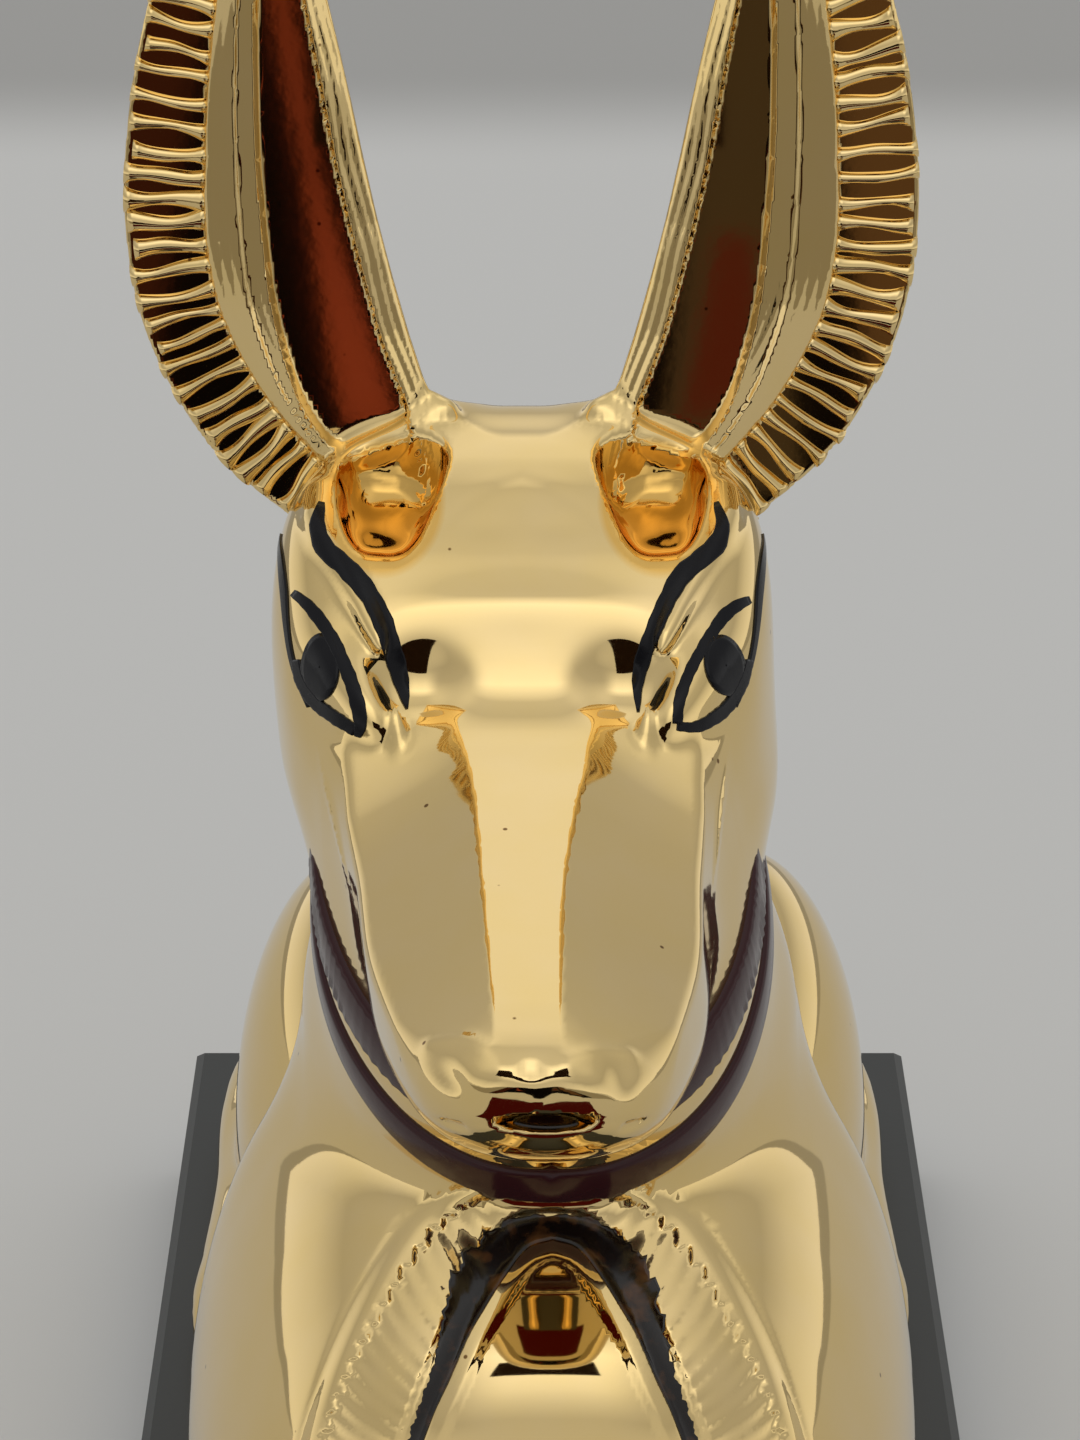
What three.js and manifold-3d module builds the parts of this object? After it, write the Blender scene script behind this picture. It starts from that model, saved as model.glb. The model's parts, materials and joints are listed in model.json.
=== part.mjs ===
// Recumbent jackal ornament on a flat plinth, gilded, head raised and ears upright.
// Millimetres, +Z up, nose towards -Y, origin at the middle of the plinth's underside.
import * as THREE from 'three';
import { mergeVertices } from 'three/addons/utils/BufferGeometryUtils.js';
import Module from 'manifold-3d';

const wasm = await Module();
wasm.setup();

// Driving dimensions
const figureHeight = 213;    // underside of the paws to the ear tips
const plinthThickness = 20;
const plinthSideMargin = 5;  // plinth beyond the hind feet, each side
const plinthFrontMargin = 9; // plinth beyond the forepaws
const plinthRearMargin = 8;  // plinth beyond the tail
const plinthChamfer = 1.2;
const restGap = 0.3;         // glue line between the figure and its plinth
const collarProud = 0.9;     // how far the collar bands stand off the neck
const earHollowDepth = 7;    // how deep the ear's opening is sunk

// The figure's pose and carving are shares of its height: the tables below are
// written for a figure of this height and are scaled by one factor
const drawnHeight = 213;
const scale = figureHeight / drawnHeight;

// Reach of the drawn figure on the plinth
const pawTipY = -121;
const tailTipY = 122;
const hindFootX = 45;

// Smooth curve through rows of [station, value, value, ...]
function curveThrough(rows) {
  const slope = (i, k) => {
    if (i === 0 || i === rows.length - 1) {
      const a = i === 0 ? 0 : i - 1;
      return (rows[a + 1][k] - rows[a][k]) / (rows[a + 1][0] - rows[a][0]);
    }
    return (rows[i + 1][k] - rows[i - 1][k]) / (rows[i + 1][0] - rows[i - 1][0]);
  };
  return (s) => {
    let i = 0;
    while (i < rows.length - 2 && s > rows[i + 1][0]) i += 1;
    const span = rows[i + 1][0] - rows[i][0];
    const t = Math.min(1, Math.max(0, (s - rows[i][0]) / span));
    const h00 = (1 + 2 * t) * (1 - t) ** 2;
    const h10 = t * (1 - t) ** 2;
    const h01 = t * t * (3 - 2 * t);
    const h11 = t * t * (t - 1);
    return rows[i].slice(1).map((value, n) => {
      const k = n + 1;
      return h00 * value + h10 * span * slope(i, k)
        + h01 * rows[i + 1][k] + h11 * span * slope(i + 1, k);
    });
  };
}

// Stations from a to b, closer together at both ends so that the caps are round
function stations(a, b, count) {
  const eased = (t) => t - 0.75 * Math.sin(2 * Math.PI * t) / (2 * Math.PI);
  return Array.from({ length: count + 1 }, (_, i) => a + (b - a) * eased(i / count));
}

// Point of a superellipse at angle t: half-width a, half-height up or down, own exponents
function superellipse(t, a, up, down, nUp, nDown) {
  const c = Math.cos(t);
  const s = Math.sin(t);
  const n = s >= 0 ? nUp : nDown;
  const r = (Math.abs(c) ** n + Math.abs(s) ** n) ** (-1 / n);
  return [a * r * c, (s >= 0 ? up : down) * r * s];
}

// Closed skin over rings of equal length, each ring wound the same way
function skin(rings) {
  const sides = rings[0].length;
  const points = rings.flat();
  const index = [];
  const middle = (ring) => ring.reduce((sum, p) => sum.add(p), new THREE.Vector3())
    .divideScalar(sides);
  for (let i = 0; i < rings.length - 1; i += 1) {
    for (let j = 0; j < sides; j += 1) {
      const a = i * sides + j;
      const b = i * sides + (j + 1) % sides;
      index.push(a, b, b + sides, a, b + sides, a + sides);
    }
  }
  points.push(middle(rings[0]), middle(rings[rings.length - 1]));
  const first = points.length - 2;
  const last = points.length - 1;
  const start = (rings.length - 1) * sides;
  for (let j = 0; j < sides; j += 1) {
    const next = (j + 1) % sides;
    index.push(first, next, j);
    index.push(last, start + j, start + next);
  }
  const geometry = new THREE.BufferGeometry();
  geometry.setAttribute('position',
    new THREE.Float32BufferAttribute(points.flatMap((p) => [p.x, p.y, p.z]), 3));
  geometry.setIndex(index);
  return geometry;
}

// Volume by the divergence theorem, to see which way a skin faces
function signedVolume(position, index) {
  const a = new THREE.Vector3();
  const b = new THREE.Vector3();
  const c = new THREE.Vector3();
  let sum = 0;
  for (let i = 0; i < index.length; i += 3) {
    a.fromBufferAttribute(position, index[i]);
    b.fromBufferAttribute(position, index[i + 1]);
    c.fromBufferAttribute(position, index[i + 2]);
    sum += a.dot(b.cross(c));
  }
  return sum;
}

function toSolid(source) {
  const bare = source.clone();
  bare.deleteAttribute('normal');
  bare.deleteAttribute('uv');
  const merged = mergeVertices(bare, 1e-4);
  const position = merged.attributes.position;
  const triVerts = Uint32Array.from(merged.index.array);
  if (signedVolume(position, triVerts) < 0) {
    for (let i = 0; i < triVerts.length; i += 3) {
      [triVerts[i], triVerts[i + 1]] = [triVerts[i + 1], triVerts[i]];
    }
  }
  const vertProperties = Float32Array.from(position.array);
  return new wasm.Manifold(new wasm.Mesh({ numProp: 3, vertProperties, triVerts }));
}

function toGeometry(solid) {
  const mesh = solid.getMesh();
  const geometry = new THREE.BufferGeometry();
  geometry.setAttribute('position', new THREE.Float32BufferAttribute(mesh.vertProperties, 3));
  geometry.setIndex(Array.from(mesh.triVerts));
  geometry.computeVertexNormals();
  return geometry;
}

// Loft along Y: rows are [y, half-width, top, widest height, bottom, nUp, nDown]
function alongY(rows, count, sides, middleX = 0) {
  const at = curveThrough(rows);
  const rings = stations(rows[0][0], rows[rows.length - 1][0], count).map((y) => {
    const [a, top, mid, bottom, nUp, nDown] = at(y);
    return Array.from({ length: sides }, (_, j) => {
      const t = (2 * Math.PI * j) / sides;
      const [x, z] = superellipse(t, a, top - mid, mid - bottom, nUp, nDown);
      return new THREE.Vector3(middleX + x, y, mid + z);
    });
  });
  return toSolid(skin(rings));
}

// Ellipsoid drawn on the right (side 1), turned about Y, X and Z in degrees, or its
// mirror image (side -1)
function ellipsoid(side, centre, radii, [turnX, turnY, turnZ], detail) {
  const ball = new THREE.SphereGeometry(1, detail, Math.ceil(detail * 0.6));
  ball.scale(...radii);
  ball.rotateY(THREE.MathUtils.degToRad(turnY));
  ball.rotateX(THREE.MathUtils.degToRad(turnX));
  ball.rotateZ(THREE.MathUtils.degToRad(turnZ));
  ball.translate(...centre);
  ball.scale(side, 1, 1);
  return toSolid(ball);
}

// Round bar along a smooth path, thickness from a function of the share of its length
function bar(points, radiusAt, count, sides) {
  const path = new THREE.CatmullRomCurve3(points.map((p) => new THREE.Vector3(...p)));
  const frames = path.computeFrenetFrames(count, false);
  const rings = Array.from({ length: count + 1 }, (_, i) => {
    const centre = path.getPointAt(i / count);
    const r = radiusAt(i / count);
    return Array.from({ length: sides }, (_unused, j) => {
      const t = (2 * Math.PI * j) / sides;
      return centre.clone()
        .addScaledVector(frames.normals[i], r * Math.cos(t))
        .addScaledVector(frames.binormals[i], r * Math.sin(t));
    });
  });
  return toSolid(skin(rings));
}

function block(low, high) {
  const size = high.map((v, k) => v - low[k]);
  const box = new THREE.BoxGeometry(...size);
  box.translate(...high.map((v, k) => (v + low[k]) / 2));
  return toSolid(box);
}

// The form made on the viewer's right, and again mirrored to the left
const bothSides = (make) => [1, -1].map(make);

// Torso from the chest to the rump
function torso() {
  return alongY([
    [-46.6, 3, 39, 33, 27, 2, 2],
    [-46.1, 12, 44, 33, 20, 2.1, 2.1],
    [-44.6, 20, 50, 31, 13, 2.2, 2.1],
    [-41, 27, 56.5, 27, 6, 2.3, 2.2],
    [-35, 32.5, 61.5, 22, 0, 2.3, 2.2],
    [-26, 36.5, 65.5, 17, -5, 2.3, 2.2],
    [-14, 39.5, 69.5, 14, -7, 2.3, 2.2],
    [2, 41.5, 73, 12, -8, 2.3, 2.2],
    [16, 41.2, 74, 13, -8, 2.3, 2.2],
    [34, 35.5, 68, 16, -8, 2.2, 2.2],
    [54, 27.5, 60, 20, -6, 2.1, 2.2],
    [76, 26, 58.5, 22, -6, 2.1, 2.2],
    [96, 26, 54, 20, -6, 2.1, 2.2],
    [108, 20, 44, 16, -4, 2.1, 2.1],
    [113.5, 9, 29, 12, 0, 2, 2],
    [115, 2.5, 18, 12, 6, 2, 2],
  ], 16, 18);
}

// Neck rows: [distance along the tilted axis from the collar's middle, half-width,
// half-depth in front, half-depth behind]
const neckTilt = THREE.MathUtils.degToRad(32);
const neckMiddle = new THREE.Vector3(0, 3.8, 87.5);
const neckUp = new THREE.Vector3(0, -Math.sin(neckTilt), Math.cos(neckTilt));
const neckBack = new THREE.Vector3(0, Math.cos(neckTilt), Math.sin(neckTilt));
const neckAt = curveThrough([
  [-50, 22, 26, 16],
  [-36, 28, 34, 25],
  [-20, 27.4, 35.5, 29.5],
  [-8, 24.8, 34.6, 32],
  [4, 23.4, 33.2, 33],
  [14, 22.6, 31, 33],
  [26, 19, 24, 28],
]);

function neckRing(t, sides, proud = 0) {
  const [a, front, back] = neckAt(t);
  return Array.from({ length: sides }, (_, j) => {
    const angle = (2 * Math.PI * j) / sides;
    const [x, d] = superellipse(angle, a + proud, back + proud, front + proud, 2.15, 2.15);
    return neckMiddle.clone().addScaledVector(neckUp, t)
      .addScaledVector(neckBack, d).add(new THREE.Vector3(x, 0, 0));
  });
}

function neck() {
  const rings = [-50, -42, -32, -20, -8, 4, 14, 22, 26].map((t) => neckRing(t, 20));
  return toSolid(skin(rings));
}

// Collar: two raised bands with a lower gold strip between them
const collarBands = [
  { low: -0.6, high: 5.6, proud: collarProud },
  { low: 5.2, high: 8.6, proud: collarProud * 0.5 },
  { low: 8.2, high: 18.2, proud: collarProud },
];

function collar() {
  return collarBands.map(({ low, high, proud }) => {
    const rings = [
      neckRing(low, 20, -1.5),
      neckRing(low, 20, proud),
      neckRing(high, 20, proud),
      neckRing(high, 20, -1.5),
    ];
    return toSolid(skin(rings));
  });
}

// Head: skull and muzzle in one loft, then planed along the nose
function skullAndMuzzle() {
  return alongY([
    [-67.9, 1.2, 106, 105, 104, 2, 2],
    [-67.6, 4, 107.6, 105, 101.8, 2.2, 2],
    [-67.1, 6, 108.6, 104.9, 100.2, 2.4, 2.1],
    [-66, 8, 109.7, 104.7, 98.8, 2.6, 2.1],
    [-64.4, 9.7, 110.9, 104.4, 97.2, 2.8, 2.2],
    [-62, 11, 112, 103.8, 95.6, 3, 2.3],
    [-58, 12.2, 112.9, 103, 93.6, 3.2, 2.4],
    [-51, 13.9, 113.9, 102, 91, 3.4, 2.4],
    [-41, 15.9, 115.4, 101, 87.5, 3.4, 2.4],
    [-27, 17.5, 117.5, 100.5, 84, 3.2, 2.3],
    [-16, 19.4, 119.6, 101, 82, 3, 2.3],
    [-9, 21.6, 121.7, 103, 81, 3.4, 2.3],
    [-2, 24.3, 127.2, 105, 81, 4.4, 2.3],
    [3, 25.6, 131, 105.5, 81, 4.6, 2.3],
    [8, 26.4, 133.9, 106, 82, 4.6, 2.3],
    [13, 26.6, 136, 106.5, 84, 4.4, 2.2],
    [18, 26.2, 136.9, 107, 86, 4, 2.2],
    [27, 22.6, 136.4, 108, 92, 3, 2.1],
    [35, 16, 129, 109, 99, 2.3, 2],
    [39, 8, 120, 110, 104, 2, 2],
    [40.2, 1.6, 112, 110, 108.5, 2, 2],
  ], 24, 22);
}

// What lies above the nose's bridge: a flat strip with planed flanks falling beside it,
// that turns up into the forehead. Rows are [y, height, strip's half-width, flanks' fall]
const bridgeRows = [
  [-72, 108.8, 3, 0.3],
  [-64, 109.8, 3, 0.42],
  [-40, 113.1, 3.9, 0.56],
  [-18, 116.2, 6, 0.52],
  [-13, 117.1, 6.7, 0.4],
  [-10, 118.7, 7.2, 0.28],
  [-7, 121.8, 8, 0.2],
  [-3, 127.6, 9, 0.1],
];
const planedHalfWidth = 30; // past the sides of the head
const planedHeight = 30;    // past the top of the head

function overBridge() {
  return toSolid(skin(bridgeRows.map(([y, z, halfWidth, fall]) => {
    const low = z - fall * (planedHalfWidth - halfWidth);
    const high = z + planedHeight;
    return [
      [-planedHalfWidth, low], [-halfWidth, z], [halfWidth, z], [planedHalfWidth, low],
      [planedHalfWidth, high], [-planedHalfWidth, high],
    ].map(([x, height]) => new THREE.Vector3(x, y, height));
  })));
}

// Brow ridge, from the ear's foot to the inner corner of the eye
const browPath = [
  [20.9, 11, 131.2], [20, 5.5, 129.4], [16.8, -1.5, 126.2], [13.4, -8.6, 122], [11.9, -14, 118.4],
];

function brow(side) {
  const points = browPath.map(([x, y, z]) => [side * x, y, z]);
  return bar(points, (s) => 1.6 - 0.7 * s, 8, 6);
}

function eyeball(side) {
  return ellipsoid(side, [17.7, -4.4, 118.6], [10, 3.9, 4.6], [0, -20, 67], 12);
}

// Hollow of the forehead between the ear, the brow and the skull
function foreheadPocket(side) {
  return ellipsoid(side, [14, 8.2, 137], [6, 9.4, 5.6], [34, 0, -14], 12);
}

function nostril(side) {
  return ellipsoid(side, [7.4, -66.6, 105.9], [2, 2.4, 1.2], [0, 0, 0], 8);
}

// Parting of the lips, running back along both sides of the muzzle
function mouthCut() {
  const halfAngle = THREE.MathUtils.degToRad(3);
  const wedge = new THREE.BoxGeometry(40, 34, 1.5);
  wedge.rotateX(-halfAngle);
  wedge.translate(0, -66, 100.8);
  const core = alongY([
    [-66.4, 5.6, 106, 101, 95, 2.4, 2.4],
    [-61, 10, 108, 101, 94, 2.6, 2.4],
    [-50, 12.6, 110, 101, 90, 2.6, 2.4],
    [-40, 14.6, 112, 101, 87, 2.6, 2.4],
  ], 5, 24);
  return toSolid(wedge).subtract(core);
}

// Ear outline: [height, inner edge x, outer edge x, thickness]
const earAt = curveThrough([
  [121, 9, 17, 15],
  [125.5, 8.5, 23.4, 14],
  [129.5, 8.2, 29.3, 13],
  [135.6, 8.2, 34.4, 12],
  [141.7, 10.3, 37.7, 11.2],
  [148, 12, 40.1, 10.5],
  [156.5, 14.2, 41.4, 9.8],
  [165, 16, 41.3, 9],
  [175, 18, 39.9, 8.2],
  [185, 20.2, 37.4, 7.2],
  [195, 22.4, 34.2, 6],
  [203, 24.2, 31.2, 4.8],
  [209, 25.5, 28.9, 3.4],
  [213, 26.5, 27.4, 1.4],
]);
const earTopZ = drawnHeight;
const earFootZ = 121;
const earFrontY = 19;       // front face of the ear at its foot
const earLean = 5;          // how far the tip stands behind the foot
const earBandWidth = 19;    // narrower than this, the ear's bands shrink with it
const ribBand = { rim: 1.4, width: 7.1, depth: 0.9 };
const rollEnd = 12.4;       // rounded roll beside the ribs ends this far from the edge
const ribPitch = 2.9;

// Front plane of the ear at height z
const earPlaneY = (z) => earFrontY + (earLean * (z - earFootZ)) / (earTopZ - earFootZ);

// Front relief across the ear, as depth behind its front plane at distance e from the
// outer edge and i from the inner edge
function earRelief(e, i, z) {
  const taper = Math.min(1, (earTopZ - z) / 24);
  const open = THREE.MathUtils.smoothstep(z, 132, 139);
  const deep = earHollowDepth * taper * open;
  const fromOuter = THREE.MathUtils.smoothstep(e, 14.1, 15.6);
  const fromInner = THREE.MathUtils.smoothstep(i, 2.2, 3.2);
  const band = ribBand.rim + ribBand.width;
  const ribs = e > ribBand.rim && e < band ? ribBand.depth : 0;
  const onRoll = THREE.MathUtils.clamp((e - band) / (rollEnd - band), 0, 1);
  const roll = -0.9 * Math.sin(Math.PI * onRoll);
  return deep * fromOuter * fromInner + (ribs + roll) * taper;
}

function earRing(z, side) {
  const [inner, outer, thick] = earAt(z);
  const width = outer - inner;
  const fit = Math.min(1, width / earBandWidth);
  const outerMarks = [0, 0.7, 1.3, 1.7, 8.2, 8.7, 10.5, rollEnd, 14.1, 15.6];
  const innerMarks = [3.2, 2.2, 0.8, 0];
  const across = [
    ...outerMarks.map((e) => e * fit),
    ...innerMarks.map((i) => width - i * fit),
  ];
  const ring = across.map((e) => {
    const round = 0.9 * Math.max(0, 1 - e / (1.2 * fit)) ** 2
      + 0.9 * Math.max(0, 1 - (width - e) / (1.2 * fit)) ** 2;
    const y = earPlaneY(z) + earRelief(e / fit, (width - e) / fit, z) + round;
    return new THREE.Vector3(side * (outer - e), y, z);
  });
  const backCount = 7;
  for (let k = 1; k < backCount; k += 1) {
    const t = k / backCount;
    const bulge = thick * Math.sin(Math.PI * t) ** 0.7;
    ring.push(new THREE.Vector3(side * (inner + width * t), earPlaneY(z) + 0.9 + bulge, z));
  }
  return ring;
}

function earBody(side) {
  const heights = [
    earFootZ, 125, 129, 132.5, 136, 140, 146, 154, 164, 174, 184, 193, 201, 207, 211.5, earTopZ,
  ];
  return toSolid(skin(heights.map((z) => earRing(z, side))));
}

// Ribs of hair across the outer band, square to the outer edge: one strip whose front
// rises and falls once for each rib
function earRibs(side) {
  const edge = new THREE.CatmullRomCurve3(
    [126, 129.5, 135.6, 141.7, 148, 156.5, 165, 175, 185, 195, 203].map((z) => {
      const outer = earAt(z)[1];
      return new THREE.Vector3(outer, earPlaneY(z), z);
    }));
  const halfPitches = 2 * Math.round(edge.getLength() / ribPitch);
  const rings = Array.from({ length: halfPitches + 1 }, (_, k) => {
    const at = edge.getPointAt(k / halfPitches);
    const along = edge.getTangentAt(k / halfPitches);
    const inward = new THREE.Vector3(-along.z, 0, along.x).normalize();
    const [inner, outer] = earAt(at.z);
    const fit = Math.min(1, (outer - inner) / earBandWidth);
    const crest = k % 2 === 0 ? 0.75 : -0.25;
    const corner = (distance, depth) => {
      const p = at.clone().addScaledVector(inward, distance * fit);
      return new THREE.Vector3(side * p.x, p.y + depth, p.z);
    };
    const near = ribBand.rim - 0.4;
    const far = ribBand.rim + ribBand.width + 0.4;
    return [corner(near, crest), corner(far, crest), corner(far, 2), corner(near, 2)];
  });
  return toSolid(skin(rings));
}

// Foreleg stretched forward, with its paw and toes
function foreleg(side) {
  const leg = alongY([
    [pawTipY, 3, 6, 3, 0, 2, 2.6],
    [pawTipY + 2, 8, 9.5, 4, -2, 2.2, 3],
    [pawTipY + 8, 10.2, 13, 5, -3, 2.2, 3],
    [pawTipY + 17, 9.8, 14.6, 6, -3, 2.2, 3],
    [pawTipY + 27, 8.2, 13.6, 6, -3, 2.2, 2.6],
    [pawTipY + 48, 8, 15, 7, -3, 2.2, 2.4],
    [pawTipY + 74, 9, 19, 8, -3, 2.2, 2.4],
    [pawTipY + 98, 11, 27, 8, -3, 2.1, 2.4],
    [pawTipY + 112, 8, 22, 8, -2, 2, 2],
  ], 11, 12, side * 21.5);
  const creases = [-4.9, 0, 4.9].map((dx) => ellipsoid(
    side, [21.5 + dx, pawTipY + 2, 11.4], [0.7, 11, 5.4], [29, 0, 0], 6));
  return creases.reduce((paw, crease) => paw.subtract(crease), leg);
}

// Folded thigh, shank and hind foot lying forward beside the flank
function hindLeg(side) {
  const thigh = ellipsoid(side, [24, 84, 15], [17, 31, 36.7], [0, 0, 0], 14);
  const foot = alongY([
    [46.5, 2.5, 5, 3, 1, 2, 2.4],
    [48.5, 5.2, 8.4, 4, -2, 2.2, 2.8],
    [54, 6.6, 11.4, 5, -3, 2.2, 2.8],
    [63, 6.2, 11.6, 5, -3, 2.2, 2.6],
    [82, 5.6, 11.4, 5, -3, 2.2, 2.4],
    [100, 6, 13, 5, -3, 2.2, 2.4],
    [111, 4.5, 12, 5, -2, 2, 2.2],
    [114, 1.5, 8, 5, 2, 2, 2],
  ], 10, 12, side * (hindFootX - 6.6));
  const creases = [-3, 0.2, 3.3].map((dx) => ellipsoid(
    side, [hindFootX - 6.6 + dx, 48.5, 9.6], [0.55, 7.5, 4], [26, 0, 0], 6));
  return thigh.add(creases.reduce((paw, crease) => paw.subtract(crease), foot));
}

// Tail: down from the rump and back along the plinth, thickening to a blunt brush
function tail() {
  const points = [
    [0, 98, 48], [0, 108, 38], [0, 112.5, 24], [0, 113.5, 12], [0, 115, 5.4], [0, 118, 4.6],
  ];
  const brush = (s) => (s < 0.9 ? 3.6 + 1.8 * s : 5.2 - 30 * (s - 0.9) ** 1.6);
  return bar(points, brush, 11, 8);
}

function jackalSolid() {
  let head = skullAndMuzzle().subtract(overBridge());
  bothSides(eyeball).forEach((ball) => { head = head.add(ball); });
  bothSides(brow).forEach((ridge) => { head = head.add(ridge); });
  bothSides(earBody).forEach((ear) => { head = head.add(ear); });
  bothSides(earRibs).forEach((rib) => { head = head.add(rib); });
  bothSides(foreheadPocket).forEach((cut) => { head = head.subtract(cut); });
  bothSides(nostril).forEach((cut) => { head = head.subtract(cut); });
  head = head.subtract(mouthCut());

  const pieces = [
    neck(), head, ...collar(), tail(), ...bothSides(foreleg), ...bothSides(hindLeg),
  ];
  const whole = pieces.reduce((sum, piece) => sum.add(piece), torso());
  const below = block([-200, -300, -60], [200, 300, 0]);
  return whole.subtract(below);
}

// Plinth sized around the figure's feet
function plinthGeometry() {
  const halfWidth = hindFootX * scale + plinthSideMargin;
  const front = pawTipY * scale - plinthFrontMargin;
  const rear = tailTipY * scale + plinthRearMargin;
  const c = plinthChamfer;
  const ring = (inset, z) => [
    [halfWidth - inset, front + inset], [halfWidth - inset, rear - inset],
    [inset - halfWidth, rear - inset], [inset - halfWidth, front + inset],
  ].map(([x, y]) => new THREE.Vector3(x, y, z));
  return skin([ring(0, 0), ring(0, plinthThickness - c), ring(c, plinthThickness)]);
}

const group = new THREE.Group();

const gold = new THREE.MeshStandardMaterial({ color: 0xc9a552, roughness: 0.12, metalness: 1 });
const jackal = new THREE.Mesh(toGeometry(jackalSolid()), gold);
jackal.name = 'jackal';
jackal.scale.setScalar(scale);
jackal.position.z = plinthThickness + restGap;
group.add(jackal);

const black = new THREE.MeshStandardMaterial({ color: 0x232524, roughness: 0.45, metalness: 0 });
const plinth = new THREE.Mesh(toGeometry(toSolid(plinthGeometry())), black);
plinth.name = 'plinth';
group.add(plinth);

export default group;
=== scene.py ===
# gilded recumbent jackal on its black plinth
import json
import math
import time
import bpy
import numpy as np
from mathutils import Matrix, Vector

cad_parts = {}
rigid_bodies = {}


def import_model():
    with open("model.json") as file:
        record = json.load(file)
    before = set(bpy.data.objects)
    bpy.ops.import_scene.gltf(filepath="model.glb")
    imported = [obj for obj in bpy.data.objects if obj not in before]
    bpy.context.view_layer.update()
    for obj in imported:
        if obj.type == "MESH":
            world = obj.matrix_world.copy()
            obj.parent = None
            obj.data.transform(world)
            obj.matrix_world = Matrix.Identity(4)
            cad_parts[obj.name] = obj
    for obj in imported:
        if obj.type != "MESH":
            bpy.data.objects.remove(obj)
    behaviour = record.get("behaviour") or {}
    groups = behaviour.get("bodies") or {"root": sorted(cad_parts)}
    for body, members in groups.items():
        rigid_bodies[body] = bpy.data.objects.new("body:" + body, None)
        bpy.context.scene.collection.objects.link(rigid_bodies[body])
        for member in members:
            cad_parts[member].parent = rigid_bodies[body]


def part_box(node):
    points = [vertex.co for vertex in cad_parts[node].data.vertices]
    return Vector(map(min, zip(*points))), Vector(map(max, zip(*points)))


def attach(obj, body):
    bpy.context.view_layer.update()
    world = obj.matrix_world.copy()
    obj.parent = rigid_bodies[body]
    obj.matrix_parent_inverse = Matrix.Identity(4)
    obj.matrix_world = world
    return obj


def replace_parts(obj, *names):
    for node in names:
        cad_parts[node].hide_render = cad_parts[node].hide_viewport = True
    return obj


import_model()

startTime = time.time()
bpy.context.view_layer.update()  # box of the solids, before anything is dressed
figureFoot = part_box("jackal")[0][2] * 1000  # height of the paws' underside, mm
coarser = 1.0


def report(text):
    print(f"{time.time() - startTime:6.1f} s  {text}")


# camera, solved from the plinth's edges in the photograph
photoCamera = {
    "place": (-1.3, -410.0, 303.0),  # mm, height counted from the figure's feet
    "lookDown": 25.0,
    "lens": 108.8,
    "sensor": 36.0,  # on the photograph's long side
    "frame": (1080, 1440),
}


def makeCamera(spec):
    data = bpy.data.cameras.new("photoCamera")
    data.sensor_fit = "VERTICAL"
    data.sensor_height = spec["sensor"]
    data.lens = spec["lens"]
    data.clip_start = 0.01
    cam = bpy.data.objects.new("photoCamera", data)
    x, y, z = spec["place"]
    turn = Matrix.Rotation(math.radians(90 - spec["lookDown"]), 4, "X")
    cam.matrix_world = Matrix.Translation((x / 1000, y / 1000, (z + figureFoot) / 1000)) @ turn
    bpy.context.scene.collection.objects.link(cam)
    bpy.context.scene.camera = cam
    return np.array(turn.to_3x3())


cameraTurn = makeCamera(photoCamera)


def pixelRays(pixels):
    # photo pixels as rays: one start point and unit directions, mm above the feet
    width, height = photoCamera["frame"]
    focal = photoCamera["lens"] / photoCamera["sensor"] * height
    pixels = np.array(pixels, float)
    local = np.stack([(pixels[:, 0] - width / 2) / focal,
                      -(pixels[:, 1] - height / 2) / focal,
                      -np.ones(len(pixels))], 1)
    ways = local @ cameraTurn.T
    ways /= np.linalg.norm(ways, axis=1)[:, None]
    return np.array(photoCamera["place"]), ways


# form tools: every form is a field, negative inside and about the distance in mm near
# its surface, so that forms melt into each other as wax does
def curveThrough(rows):
    table = np.array(rows, float)
    s, v = table[:, 0], table[:, 1:]
    slope = np.empty_like(v)
    slope[1:-1] = (v[2:] - v[:-2]) / (s[2:] - s[:-2])[:, None]
    slope[0] = (v[1] - v[0]) / (s[1] - s[0])
    slope[-1] = (v[-1] - v[-2]) / (s[-1] - s[-2])
    fine = np.linspace(s[0], s[-1], 1500)
    i = np.clip(np.searchsorted(s, fine, side="right") - 1, 0, len(s) - 2)
    span = (s[i + 1] - s[i])[:, None]
    t = np.clip((fine - s[i])[:, None] / span, 0, 1)
    values = ((1 + 2 * t) * (1 - t) ** 2 * v[i] + t * (1 - t) ** 2 * span * slope[i]
              + t * t * (3 - 2 * t) * v[i + 1] + t * t * (t - 1) * span * slope[i + 1])

    def at(q):
        return [np.interp(q, fine, values[:, k]) for k in range(values.shape[1])]
    return at


def melt(a, b, soft):
    h = np.clip(0.5 + 0.5 * (b - a) / soft, 0, 1)
    return b * (1 - h) + a * h - soft * h * (1 - h)


def within(a, b, soft):
    return -melt(-a, -b, soft)


def carve(a, b, soft):
    return within(a, -b, soft)


def smoothStep(low, high, v):
    t = np.clip((v - low) / (high - low), 0, 1)
    return t * t * (3 - 2 * t)


def loftAlongY(rows):
    # rows are y, half-width, top, widest height, bottom, exponent above, exponent below
    at = curveThrough(rows)
    first, last = rows[0][0], rows[-1][0]

    def field(x, y, z, middleX=0.0):
        a, top, mid, bottom, nUp, nDown = at(y)
        aNext, topNext, _, bottomNext, _, _ = at(y + 0.25)
        steep = ((aNext - a) + 0.5 * (topNext - top - bottomNext + bottom)) / 0.5
        dx, dz = np.abs(x - middleX), z - mid
        above = dz >= 0
        b = np.where(above, top - mid, mid - bottom)
        n = np.where(above, nUp, nDown)
        share = ((dx / a) ** n + (np.abs(dz) / b) ** n) ** (1 / n)
        reach = np.hypot(dx, dz)
        f = (reach - reach / np.maximum(share, 1e-6)) / np.sqrt(1 + steep ** 2)
        return np.maximum(f, np.maximum(first - y, y - last))
    return field


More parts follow.
